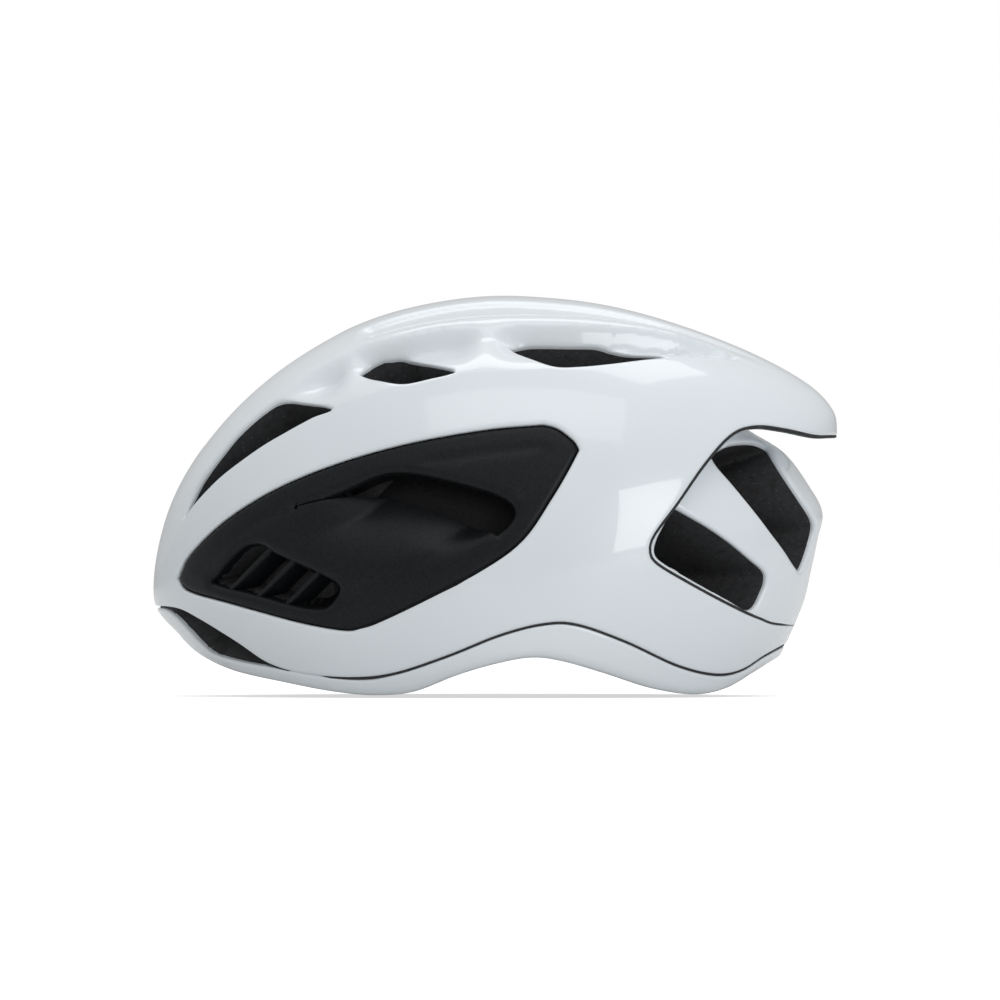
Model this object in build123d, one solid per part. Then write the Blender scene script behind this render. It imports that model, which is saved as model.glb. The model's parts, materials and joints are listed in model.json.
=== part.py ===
from build123d import *
from math import acos, copysign, cos, degrees, hypot, pi, radians, sin, tan
import os

# Road cycling helmet: foam liner, outer shells, side vent panels, fit system, straps and pads.
# Frame, in millimetres: +X towards the back of the head, +Y towards the wearer's right, +Z up.
# The origin is on the floor, under the middle of the helmet's bounding box. The helmet stands on its rim.

# ---- Outer form ---------------------------------------------------------------------------------
POLE_X, POLE_Z = 5.0, 50.0  # the form is widest here, at each ear
HALF_WIDTH = 104.0
FULLNESS = 2.15  # exponent of the cross-sections: 2 would be an ellipse
SKIN = 1.0  # thickness of the polycarbonate shells
GAP = 0.3  # clearance between neighbouring pieces
FOAM_GAP = 0.1  # clearance between a shell and the foam bonded to it, and round a shaft
SEAM_GAP = 0.6  # the dark line along the edge of the rear cut

# The form's outline in the middle plane, (x, z), from the brow over the crown to the tail and back below.
MIDDLE_LINE = [
    (-143.4, 44), (-141.5, 62), (-135.5, 82), (-125, 101), (-109, 121), (-88, 139), (-62, 154),
    (-36, 163), (-5, 167.8), (25, 167), (52, 163), (80, 155), (108, 144), (130, 132), (141, 121.5),
    (143.6, 112), (141.5, 95), (138, 75), (133, 52), (124.5, 27), (108, -2), (80, -32), (42, -56),
    (5, -64), (-35, -58), (-72, -41), (-102, -16), (-119, 6), (-131, 23), (-140.5, 34),
]  # fmt: skip
# The lower form inside the cut-away at the back.
REAR_LINE = [
    (5, 150), (50, 143), (84, 128), (106, 112), (121.5, 102), (132, 88), (137.5, 77), (135.5, 66),
    (132.5, 52), (129, 38), (120, 18), (104, -6), (78, -34), (42, -56), (5, -62), (-60, -45),
    (-110, 10), (-115, 60), (-90, 110), (-45, 142),
]  # fmt: skip

# ---- Edges, as seen from the side (x, z) --------------------------------------------------------
RIM_LINE = [
    (-150, 44), (-143.6, 36.5), (-134, 27), (-124.5, 17), (-110, 10), (-90, 5.6), (-68, 1.4), (-50, -0.7),
    (-34, 1.5), (-16, 8.8), (0, 13.6), (15, 16.3), (28, 14.8), (46, 9.5), (66, 2.6), (84, -0.7),
    (97, 2.6), (108, 8.8), (116, 13.6), (124, 17.6), (135, 21), (150, 24),
]  # fmt: skip
SEAM_LINE = [
    (-150, 37.6), (-134.5, 37), (-124, 32.5), (-108, 22.8), (-94.5, 14), (-80, 9.8), (-60, 8.3), (-42, 10.3),
    (-20, 17.6), (2, 26.4), (20, 31), (34, 30.8), (54, 23.8), (76, 13.6), (92, 9.6), (103, 11.2),
    (113, 17.2), (124, 22.6), (135, 26), (150, 29),
]  # fmt: skip
LOWER_EDGE_LINE = [
    (-150, 36.4), (-140, 35), (-133, 31.6), (-126, 25.4), (-119, 19.8), (-107, 15.4), (-93, 12.3), (-80, 9.2),
] + [(x, z - 0.8) for x, z in SEAM_LINE[6:]]  # fmt: skip

PANEL_TOP = [
    (-133.2, 49.5), (-128, 59.5), (-113, 73.8), (-92, 86.8), (-66, 97.4), (-36, 105.8), (-4, 111.5), (20, 113.7),
]  # fmt: skip
PANEL_NOSE = [(20, 113.7), (29, 109.8), (34.4, 103.4)]
PANEL_BACK = [
    (34.4, 103.4), (23, 83.2), (12, 67), (-2, 56), (-27, 42.4), (-48, 32.2), (-64, 28.4), (-84, 32),
    (-112, 39.6), (-129, 44.6), (-133.2, 49.5),
]  # fmt: skip
SCOOP_TOP = [(-70, 84), (-52, 92), (-40, 94.2), (-22, 91.6), (-2, 85.6), (7, 81), (7.8, 75.5), (1, 68)]
SCOOP_FLOOR = [(1, 68), (-12, 72), (-32, 81), (-52, 86), (-70, 84)]
LOUVRE_EDGE = [
    (-119.5, 48), (-113, 57), (-105, 63.4), (-98, 63.6), (-84, 56.2), (-66, 47), (-67, 41.5), (-74, 36.8),
    (-84, 37.8), (-103, 43), (-119.5, 48),
]  # fmt: skip
SLATS = [((-110, 46), (-93.6, 60)), ((-99.5, 43), (-83, 55)), ((-87.5, 39), (-71.5, 50.8))]
SLAT_WIDTH, SLAT_OVERRUN = 1.6, 5.0

REAR_CUT = [
    (152, 109), (141.5, 109), (134, 109.2), (121, 112), (109, 113.2), (99, 109.8), (88, 98), (76, 81),
    (66.4, 68), (64.4, 61.8), (67, 56.2), (80, 48.2), (97, 39), (110, 33), (121.5, 30), (152, 31),
]  # fmt: skip
CUT_MIDDLE_Z = 61.8  # height of the cut's foremost point
REAR_VENT_TOP = [
    (90.8, 100), (95, 104.6), (105, 107.2), (113.5, 105.4), (118, 99.6), (128.5, 83), (134.6, 73),
    (133.6, 64), (128.5, 52.4), (110, 76), (96, 92.8), (90.8, 100),
]  # fmt: skip
REAR_VENT_LOW = [
    (69, 74), (76, 79), (92, 69.4), (106, 58.6), (113.6, 50.4), (111.6, 42.6), (107, 35.6), (95, 41.6),
    (78, 50.6), (68, 58), (69, 74),
]  # fmt: skip

# ---- Vents, seen from above (x, y) on the wearer's left -----------------------------------------
CENTRE_VENT = [(-126, 0), (-122, -9), (-92, -11), (-66, -8), (-58, 0)]
MIDDLE_VENT = [(-57, -64), (-46, -54), (-36, -52), (-17, -66), (-38, -73), (-57, -64)]
TOP_VENT = [(6, -58), (20, -50), (46, -49), (71, -56), (48, -68), (26, -73.5), (6, -58)]
FRONT_VENT = [
    (-129, 74.8), (-121.4, 90.7), (-106, 110.5), (-94, 121), (-81.6, 122.8), (-67.6, 119.9), (-87.4, 110),
    (-104, 99.5), (-119, 87), (-129, 74.8),
]  # fmt: skip

# Tunnels that lead from the bottom of a side vent to the head cavity: start, end, radius, wearer's left.
FRONT_TUNNEL = ((-104, -52, 108), (-62, -26, 82), 9.0)
SCOOP_TUNNEL = ((-28, -86, 82), (4, -58, 70), 6.0)
LOUVRE_TUNNEL = ((-92, -64, 50), (-60, -40, 46), 8.0)
TAIL_TUNNEL = ((112, -40, 86), (76, -22, 70), 6.5)
REAR_TUNNEL = ((92, -60, 60), (70, -42, 56), 7.0)
PANEL_THICK = 2.4

# ---- Head cavity --------------------------------------------------------------------------------
HEAD_X, HEAD_Z = -3.0, 30.0  # centre of the head form, at the level of the fit ring
HEAD_LONG, HEAD_WIDE, HEAD_HIGH = 104.0, 81.0, 104.0  # its half axes
PAD_THICK = 5.0
BROW_PAD = [(-112, 13), (-92, 10), (-74, 12), (-74, 26.5), (-112, 26.5)]
CROWN_PADS = [[(-78, 90), (-24, 90), (-24, 140), (-78, 140)], [(15, 90), (66, 90), (66, 140), (15, 140)]]
CROWN_PAD_HALF = 13.0
SIDE_PADS = [
    [(-82, 60), (-50, 60), (-38, 84), (-44, 96), (-68, 90)],
    [(32, 60), (64, 60), (58, 84), (42, 96), (24, 92)],
]

# ---- Fit system ---------------------------------------------------------------------------------
TEMPLE_X, TEMPLE_Z = -60.0, 24.0  # the two temple pivots share this axis across the helmet
RING_X, RING_R = 8.0, 72.0  # centre and radius of the rack strips, seen from above
DIAL_Z = 22.0
MODULE, TEETH, PRESSURE = 1.0, 10, radians(25)
PITCH_R = MODULE * TEETH / 2
ADDENDUM, DEDENDUM, BACKLASH = 0.72, 0.95, 0.14
TOOTH_STEP = degrees(pi * MODULE / RING_R)  # one tooth of a rack strip, in degrees about the ring's centre
RACK_TEETH = 8
STRIP_THICK, STRIP_TALL = 1.6, 4.5
STRIP_FROM, STRIP_TO = -50.0, 10.2  # the left strip's two ends, in degrees
TAB_FROM = -43.0  # the strip widens into a tab from here to its outer end
SLOT_IN, SLOT_OUT = 70.4, 73.6  # the housing's slot, in radius
HOUSING_IN, HOUSING_OUT, HOUSING_HALF = 68.0, 76.0, 24.0
HOUSING_LOW, HOUSING_HIGH = 8.0, 36.0
SHAFT_R = 3.0
DIAL_R, DIAL_FRONT, DIAL_BACK = 15.5, 84.6, 94.0
GRIP_DEEP, GRIP_NOTCHES = 2.2, 14
SCREW_R, SCREW_AT, SCREW_Z = 1.0, 18.0, (9.6, 34.4)
CRADLE_IN, CRADLE_OUT = 65.6, 67.8
GUIDE_R = 150.0  # radius of the height strip about the temple pivots
GUIDE_WIDE, GUIDE_THICK = 14.0, 1.6
GUIDE_LOW, GUIDE_HIGH = 54.0, 64.0
FOOT_THICK = 2.4  # the strip's foot steps over the dial
ARM_THICK, ARM_LOW, ARM_HIGH = 1.6, 19.0, 29.0
LUG_Y, LUG_R, PIN_R = 59.6, 8.0, 2.5
# Middle of the right arm seen from above (x, y), from the temple lug to the rack strip's end.
ARM_LINE = [(-56, 60.6), (-50, 62.6), (-40, 67.4), (-25, 71.8), (-5, 73.8), (15, 72.6), (36, 66), (53.2, 56.2)]

# ---- Straps -------------------------------------------------------------------------------------
WEB_WIDE, WEB_THICK, WEB_INSET = 15.0, 1.2, 0.4
FRONT_STRAP = ((-42, 11), (-12, 88))  # middle line from the rim up to the divider, seen from the side
REAR_STRAP = ((38, 19.3), (3, 86))
CHIN_X, CHIN_LOW = -5.0, 92.6  # the stowed chin strap crosses the cavity here
CHORD_Z, CHORD_Y = 116.0, 44.6  # it leaves the wall here, to run straight to the buckle
ANCHORS = [(-42, 16), (40, 20.5)]
ANCHOR_R = 5.0
DIVIDER = [(-20, 84), (-14, 76.5), (4, 76), (12, 84), (6, 99), (-15, 99)]
BUCKLE_X, BUCKLE_WIDE, BUCKLE_LONG, BUCKLE_THICK = -5.0, 24.0, 24.0, 8.4
TONGUE_LONG = 15.0


# ---- Helpers ------------------------------------------------------------------------------------
def closed_form(line, inset):
    """Solid whose sections across Y are scaled copies of one closed line, drawn in by inset."""
    steps = 6
    last = radians(87.5)
    sections = []
    for k in range(-steps, steps + 1):
        lean = last * k / steps
        side = 1 if k >= 0 else -1
        y = side * (HALF_WIDTH - inset) * abs(sin(lean)) ** (2 / FULLNESS)
        scale_here = cos(lean) ** (2 / FULLNESS)
        points = []
        for px, pz in line:
            dx, dz = px - POLE_X, pz - POLE_Z
            shrink = scale_here * (1 - inset / hypot(dx, dz))
            points.append((POLE_X + dx * shrink, y, POLE_Z + dz * shrink))
        sections.append(Wire([Edge.make_spline([Vector(*p) for p in points], periodic=True)]))
    return Solid.make_loft(sections)


def outline_face(runs, place):
    """Face bounded by runs of points: two points make a line, more make a spline. place maps (a, b) to 3D."""
    edges = []
    for run in runs:
        points = [Vector(*place(a, b)) for a, b in run]
        edges.append(Edge.make_line(*points) if len(points) == 2 else Edge.make_spline(points))
    return Face(Wire(edges))


def side_prism(runs, y_from, y_to):
    """Prism across the helmet with an outline seen from the side."""
    face = outline_face(runs, lambda x, z: (x, y_from, z))
    return extrude(face, amount=y_to - y_from, dir=(0, 1, 0))


def top_prism(runs, z_from, z_to):
    """Upright prism with an outline seen from above."""
    face = outline_face(runs, lambda x, y: (x, y, z_from))
    return extrude(face, amount=z_to - z_from, dir=(0, 0, 1))


def below(line, floor=-200.0, half=140.0):
    """Everything under a line seen from the side."""
    left, right = line[0], line[-1]
    runs = [line, [right, (right[0], floor)], [(right[0], floor), (left[0], floor)], [(left[0], floor), left]]
    return side_prism(runs, -half, half)


def mirrored(shape):
    return mirror(shape, about=Plane.XZ)


def both(shape):
    """A shape on the wearer's left and its mirror image on the right."""
    return [shape, mirrored(shape)]


def block(x0, x1, y0, y1, z0, z1):
    return Pos((x0 + x1) / 2, (y0 + y1) / 2, (z0 + z1) / 2) * Box(x1 - x0, y1 - y0, z1 - z0)


def rod(start, end, radius):
    """Round bar between two points."""
    axis = Vector(*end) - Vector(*start)
    plane = Plane(origin=start, z_dir=axis)
    return Solid.make_cylinder(radius, axis.length, plane)


def ring_sector(r_in, r_out, z0, z1, from_deg, to_deg):
    """Part of a flat ring about the fit ring's upright centre line; 0 degrees points to the back."""
    start = radians(from_deg)
    plane = Plane(origin=(RING_X, 0, z0), x_dir=(cos(start), sin(start), 0), z_dir=(0, 0, 1))
    wedge = Solid.make_cylinder(r_out, z1 - z0, plane, to_deg - from_deg)
    return wedge - Solid.make_cylinder(r_in, z1 - z0, plane)


def largest(shape):
    """The biggest solid of a shape, which drops slivers that a cut leaves."""
    return max(shape.solids(), key=lambda s: s.volume)


def polygon(points):
    """Straight runs that close an outline."""
    return [[a, b] for a, b in zip(points, points[1:] + points[:1])]


def cut(shape, cutters):
    for cutter in cutters:
        shape = shape - cutter
    return shape


def group(shapes):
    """Separate solids that share one node."""
    return Compound(children=[solid for shape in shapes for solid in shape.solids()])


# ---- Head form ----------------------------------------------------------------------------------
def head_form(inset):
    """The head's space: half an ellipsoid on a straight elliptical skirt, drawn in by inset."""
    a, b, c = HEAD_LONG - inset, HEAD_WIDE - inset, HEAD_HIGH - inset
    dome = scale(Solid.make_sphere(1.0, angle1=-90, angle2=90, angle3=360), by=(a, b, c))
    skirt = extrude(Ellipse(a, b), amount=-100)
    form = (dome - block(-200, 200, -200, 200, -200, 0)) + skirt
    return form.moved(Pos(HEAD_X, 0, HEAD_Z))


def wall_layer(inset, thick):
    """A layer that lines the head cavity's wall."""
    return head_form(inset) - head_form(inset + thick)


# ---- Shells and liner ---------------------------------------------------------------------------
def panel_runs(grow=0.0):
    """The side panel's outline, grown about its middle by about grow millimetres."""
    middle = (-45, 70)

    def moved(p):
        dx, dz = p[0] - middle[0], p[1] - middle[1]
        k = 1 + grow / hypot(dx, dz)
        return (middle[0] + dx * k, middle[1] + dz * k)

    return [[moved(p) for p in run] for run in (PANEL_TOP, PANEL_NOSE, PANEL_BACK)]


def vent_cutters():
    """The vents that go through both the upper shell and the liner."""
    cutters = []
    for outline in (MIDDLE_VENT, TOP_VENT):
        cutters += both(top_prism([outline], 80, 180))
    cutters += both(side_prism([FRONT_VENT], -130, -48))
    cutters += both(rod(*FRONT_TUNNEL))
    other_half = [(x, -y) for x, y in reversed(CENTRE_VENT)]
    cutters.append(top_prism([CENTRE_VENT, other_half], 60, 180))
    return cutters


def liner_cutters():
    """Hollows in the liner under the side panels, the tail and the brow."""
    cutters = both(side_prism([SCOOP_TOP, SCOOP_FLOOR], -130, -82))
    cutters += both(rod(*SCOOP_TUNNEL))
    cutters += both(side_prism([LOUVRE_EDGE], -130, -60))
    cutters += both(rod(*LOUVRE_TUNNEL))
    cutters += both(side_prism([REAR_VENT_TOP], -130, -36))
    cutters += both(rod(*TAIL_TUNNEL))
    cutters += both(side_prism([REAR_VENT_LOW], -130, -56))
    cutters += both(rod(*REAR_TUNNEL))
    cutters += both(block(-150, -92, -50, -9, 29.5, 35))
    return cutters


def make_upper_shell(skin, rear_cut, panel_hole):
    upper = skin - below(SEAM_LINE) - rear_cut
    return largest(cut(upper, vent_cutters() + both(panel_hole)))


def make_lower_shell(skin):
    return largest((skin & below(LOWER_EDGE_LINE)) - below(RIM_LINE) - floor_block())


def make_rear_shell(outside, inside):
    """The recessed tail shell, a hair inside the edge of the cut in the upper shell."""
    edge = [(x + SEAM_GAP, z + copysign(GAP, CUT_MIDDLE_Z - z)) for x, z in REAR_CUT]
    tail = (outside - inside) & side_prism([edge, [edge[-1], edge[0]]], -130, 130)
    vents = both(side_prism([REAR_VENT_TOP], -130, -18)) + both(side_prism([REAR_VENT_LOW], -130, -18))
    return largest(cut(tail, vents) & block(60, 160, -130, 130, 0, 120))


def make_liner(outside, rear_cut, rear_foam, panel_hole, panel_pocket):
    liner = outside - below(RIM_LINE) - floor_block() - head_form(0) - (rear_cut - rear_foam)
    cutters = vent_cutters() + liner_cutters() + both(panel_hole - panel_pocket) + fitting_pockets()
    return largest(cut(liner, cutters))


def make_panel(outside, inside):
    """Left side panel with a scoop and a louvred opening whose slats join its frame."""
    panel = (outside - inside) & side_prism(panel_runs(-GAP), -130, -50)
    panel = panel - side_prism([SCOOP_TOP, SCOOP_FLOOR], -130, -30)
    opening = side_prism([LOUVRE_EDGE], -130, -20)
    for low, high in SLATS:
        opening = opening - side_prism(slat_outline(low, high), -130, -20)
    return largest(panel - opening)


def slat_outline(low, high):
    """Thin slanting bar through two points, seen from the side, that runs past them into the frame."""
    dx, dz = high[0] - low[0], high[1] - low[1]
    reach = hypot(dx, dz)
    ux, uz = dx / reach, dz / reach
    nx, nz = -uz * SLAT_WIDTH / 2, ux * SLAT_WIDTH / 2
    x0, z0 = low[0] - ux * SLAT_OVERRUN, low[1] - uz * SLAT_OVERRUN
    x1, z1 = high[0] + ux * SLAT_OVERRUN, high[1] + uz * SLAT_OVERRUN
    return polygon([(x0 - nx, z0 - nz), (x1 - nx, z1 - nz), (x1 + nx, z1 + nz), (x0 + nx, z0 + nz)])


def floor_block():
    return block(-200, 200, -200, 200, -200, 0)


def make_shells():
    """Every piece of the helmet's outside, with the liner."""
    outer = closed_form(MIDDLE_LINE, 0)
    rear_cut = side_prism([REAR_CUT, [REAR_CUT[-1], REAR_CUT[0]]], -130, 130)
    panel_hole = side_prism(panel_runs(), -130, -50)
    skin = outer - closed_form(MIDDLE_LINE, SKIN)
    panel = make_panel(outer, closed_form(MIDDLE_LINE, PANEL_THICK))
    pocket_floor = closed_form(MIDDLE_LINE, PANEL_THICK + GAP)
    foam_outside = closed_form(MIDDLE_LINE, SKIN + FOAM_GAP)
    rear_foam = closed_form(REAR_LINE, SKIN + FOAM_GAP)
    return {
        "upper_shell": make_upper_shell(skin, rear_cut, panel_hole),
        "lower_shell": make_lower_shell(skin),
        "rear_shell": make_rear_shell(closed_form(REAR_LINE, 0), closed_form(REAR_LINE, SKIN)),
        "left_vent_panel": panel,
        "right_vent_panel": mirrored(panel),
        "foam_liner": make_liner(foam_outside, rear_cut, rear_foam, panel_hole, pocket_floor),
    }


# ---- Fittings in the liner ----------------------------------------------------------------------
def temple_block(grow):
    """Body of the right temple clip, which sits in a pocket in the liner."""
    return block(TEMPLE_X - 7 - grow, TEMPLE_X + 7 + grow, 63 - grow, 75 + grow, 17 - grow, 31 + grow)


def guide_block(grow):
    """Body of the guide for the height strip, set in the liner at the back of the head."""
    return block(84.5 - grow, 103 + grow, -11 - grow, 11 + grow, GUIDE_LOW - grow, GUIDE_HIGH + grow)


def anchor_plug(x, z, grow):
    return rod((x, 60, z), (x, 79 + grow, z), ANCHOR_R + grow)


def fitting_pockets():
    """Pockets in the liner for the clips, the guide and the strap anchors."""
    pockets = both(temple_block(GAP)) + [guide_block(GAP)]
    for x, z in ANCHORS:
        pockets += both(anchor_plug(x, z, GAP))
    return pockets


def make_temple_clips():
    """Clip with a headed pivot pin for each arm of the fit ring."""
    pin = rod((TEMPLE_X, LUG_Y - 1, TEMPLE_Z), (TEMPLE_X, 64, TEMPLE_Z), PIN_R)
    pin_head = rod((TEMPLE_X, LUG_Y - 2, TEMPLE_Z), (TEMPLE_X, LUG_Y - GAP, TEMPLE_Z), PIN_R + 1.7)
    return group(both(temple_block(0) + pin + pin_head))


def make_strip_guide():
    """Fixed guide whose curved slot holds the height strip at any tilt of the ring."""
    half_slot = GUIDE_THICK / 2 + GAP
    outer = rod((TEMPLE_X, -7.5, TEMPLE_Z), (TEMPLE_X, 7.5, TEMPLE_Z), GUIDE_R + half_slot)
    inner = rod((TEMPLE_X, -8, TEMPLE_Z), (TEMPLE_X, 8, TEMPLE_Z), GUIDE_R - half_slot)
    return guide_block(0) - (outer - inner)


def make_anchors():
    plugs = []
    for x, z in ANCHORS:
        plugs += both(anchor_plug(x, z, 0) - head_form(WEB_INSET / 4))
    return group(plugs)


# ---- Pads ---------------------------------------------------------------------------------------
def make_pads():
    layer = wall_layer(GAP, PAD_THICK)
    front, rear = CROWN_PADS
    sides = [layer & side_prism(polygon(outline), 20, 100) for outline in SIDE_PADS]
    half = CROWN_PAD_HALF
    return {
        "brow_pad": layer & side_prism(polygon(BROW_PAD), -100, 100),
        "crown_pad_front": layer & side_prism(polygon(front), -half, half),
        "crown_pad_rear": layer & side_prism(polygon(rear), -half, half),
        "right_side_pads": group(sides),
        "left_side_pads": group([mirrored(side) for side in sides]),
    }


# ---- Fit ring -----------------------------------------------------------------------------------
def offset_line(line, amount):
    """A plan line moved sideways by amount, to the left of its own direction."""
    moved = []
    for k, (x, y) in enumerate(line):
        ax, ay = line[max(k - 1, 0)]
        bx, by = line[min(k + 1, len(line) - 1)]
        reach = hypot(bx - ax, by - ay)
        moved.append((x - (by - ay) / reach * amount, y + (bx - ax) / reach * amount))
    return moved


def make_arm():
    """Right arm: a flexible band from the temple lug to the outer end of the rack strip."""
    outer, inner = offset_line(ARM_LINE, ARM_THICK / 2), offset_line(ARM_LINE, -ARM_THICK / 2)
    runs = [outer, [outer[-1], inner[-1]], inner[::-1], [inner[0], outer[0]]]
    band = top_prism(runs, ARM_LOW, ARM_HIGH)
    lug = rod((TEMPLE_X, LUG_Y, TEMPLE_Z), (TEMPLE_X, LUG_Y + 2, TEMPLE_Z), LUG_R)
    hole = rod((TEMPLE_X, 50, TEMPLE_Z), (TEMPLE_X, 70, TEMPLE_Z), PIN_R + FOAM_GAP)
    return (band + lug) - hole


def rack_tooth(angle, root_z, point_up):
    """One tooth of a rack strip, on the strip's edge at a place about the ring's centre."""
    half = (pi * MODULE / 2 - BACKLASH) / 2
    pitch_z = DIAL_Z + (PITCH_R if point_up < 0 else -PITCH_R)
    tip_z = pitch_z + point_up * ADDENDUM
    lean = tan(PRESSURE)

    def half_at(z):
        return half - (z - pitch_z) * point_up * lean

    outline = polygon([
        (-half_at(root_z), root_z), (half_at(root_z), root_z), (half_at(tip_z), tip_z), (-half_at(tip_z), tip_z),
    ])  # fmt: skip
    face = outline_face(outline, lambda y, z: (RING_R - STRIP_THICK / 2, y, z))
    tooth = extrude(face, amount=STRIP_THICK, dir=(1, 0, 0))
    return tooth.moved(Pos(RING_X, 0, 0) * Rot(0, 0, angle))


def make_rack(side):
    """Rack strip: side -1 is the left one, over the pinion, and side 1 the right one, under it."""
    r_in, r_out = RING_R - STRIP_THICK / 2, RING_R + STRIP_THICK / 2
    point_up = side
    edge_z = DIAL_Z - side * (PITCH_R + DEDENDUM)
    far_z = edge_z - side * STRIP_TALL
    low, high = min(edge_z, far_z), max(edge_z, far_z)
    ends = sorted((-side * STRIP_FROM, -side * STRIP_TO))
    strip = ring_sector(r_in, r_out, low, high, *ends)
    tab_ends = sorted((-side * STRIP_FROM, -side * TAB_FROM))
    strip = strip + ring_sector(r_in, r_out, min(low, ARM_LOW), max(high, ARM_HIGH), *tab_ends)
    root_z = edge_z - side * BACKLASH
    for k in range(RACK_TEETH):
        angle = (k - RACK_TEETH / 2 + 0.5) * TOOTH_STEP
        strip = strip + rack_tooth(angle, root_z, point_up)
    return strip


def housing_slot():
    reach = HOUSING_HALF + 2
    low = DIAL_Z - PITCH_R - DEDENDUM - STRIP_TALL - GAP
    high = DIAL_Z + PITCH_R + DEDENDUM + STRIP_TALL + GAP
    return ring_sector(SLOT_IN, SLOT_OUT, low, high, -reach, reach)


def housing_screws(grow):
    """Four small screws that hold the housing's two covers together."""
    screws = []
    for angle in (-SCREW_AT, SCREW_AT):
        for z in SCREW_Z:
            shank = rod((HOUSING_IN + 1, 0, z), (HOUSING_OUT - 1, 0, z), SCREW_R + grow)
            shank = shank + rod((HOUSING_IN, 0, z), (HOUSING_IN + 1.2, 0, z), SCREW_R + 0.4 + grow)
            screws.append(shank.moved(Pos(RING_X, 0, 0) * Rot(0, 0, angle)))
    return screws


def make_housing():
    """Inner and outer covers around the slot that the rack strips slide in."""
    half = HOUSING_HALF
    inner = ring_sector(HOUSING_IN, RING_R - FOAM_GAP / 2, HOUSING_LOW, HOUSING_HIGH, -half, half)
    outer = ring_sector(RING_R + FOAM_GAP / 2, HOUSING_OUT, HOUSING_LOW, HOUSING_HIGH, -half, half)
    shaft_hole = rod((RING_X + RING_R, 0, DIAL_Z), (DIAL_BACK, 0, DIAL_Z), SHAFT_R + FOAM_GAP)
    openings = [housing_slot()] + housing_screws(FOAM_GAP / 2)
    return cut(inner, openings), cut(outer, openings + [shaft_hole])


def make_cradle():
    """Butterfly-shaped cradle that holds the back of the head."""
    wings = []
    for angle in (-19, 19):
        wing = ring_sector(CRADLE_IN, CRADLE_OUT, 10, 50, angle - 12, angle + 12)
        window = ring_sector(CRADLE_IN - 1, CRADLE_OUT + 1, 21, 39, angle - 5, angle + 6)
        wings.append(wing - window)
    bridge = ring_sector(CRADLE_IN, CRADLE_OUT, 14, 34, -8, 8)
    return wings[0] + bridge + wings[1]


def make_occipital_pads():
    r_out = CRADLE_IN - GAP
    pads = [ring_sector(r_out - 3, r_out, 13, 47, angle - 8, angle + 8) for angle in (-20, 20)]
    return group(pads)


def make_height_strip():
    """Curved strip that slides through the fixed guide, with a foot on top of the housing."""
    half_thick, half_wide = GUIDE_THICK / 2, GUIDE_WIDE / 2
    axis_from, axis_to = (TEMPLE_X, -half_wide, TEMPLE_Z), (TEMPLE_X, half_wide, TEMPLE_Z)
    ring = rod(axis_from, axis_to, GUIDE_R + half_thick) - rod(axis_from, axis_to, GUIDE_R - half_thick)
    foot_z, over_dial = HOUSING_HIGH + FOAM_GAP, DIAL_Z + DIAL_R + GAP
    strip = ring & block(70, 100, -half_wide, half_wide, over_dial, GUIDE_HIGH + 20)
    foot_x = RING_X + HOUSING_IN + 1
    foot = block(foot_x, DIAL_FRONT - 1, -half_wide, half_wide, foot_z, over_dial + FOOT_THICK)
    shelf = block(foot_x, TEMPLE_X + GUIDE_R, -half_wide, half_wide, over_dial, over_dial + FOOT_THICK)
    return strip + foot + shelf


# ---- Dial ---------------------------------------------------------------------------------------
def involute(angle):
    return tan(angle) - angle


def pinion_outline():
    """The pinion's outline in (y, z) about the dial's axis, with a tooth at the top."""
    base_r = PITCH_R * cos(PRESSURE)
    tip_r, root_r = PITCH_R + ADDENDUM, PITCH_R - DEDENDUM
    half_pitch = pi / 2 / TEETH - BACKLASH / 2 / PITCH_R

    def half_angle(r):
        return half_pitch + involute(PRESSURE) - involute(acos(min(base_r / r, 1)))

    radii = [root_r, base_r, (base_r + PITCH_R) / 2, PITCH_R, (PITCH_R + tip_r) / 2, tip_r]
    points = []
    for k in range(TEETH):
        middle = pi / 2 + k * 2 * pi / TEETH
        for r in radii:
            angle = middle - half_angle(max(r, base_r))
            points.append((r * cos(angle), DIAL_Z + r * sin(angle)))
        for r in reversed(radii):
            angle = middle + half_angle(max(r, base_r))
            points.append((r * cos(angle), DIAL_Z + r * sin(angle)))
    return points


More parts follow.
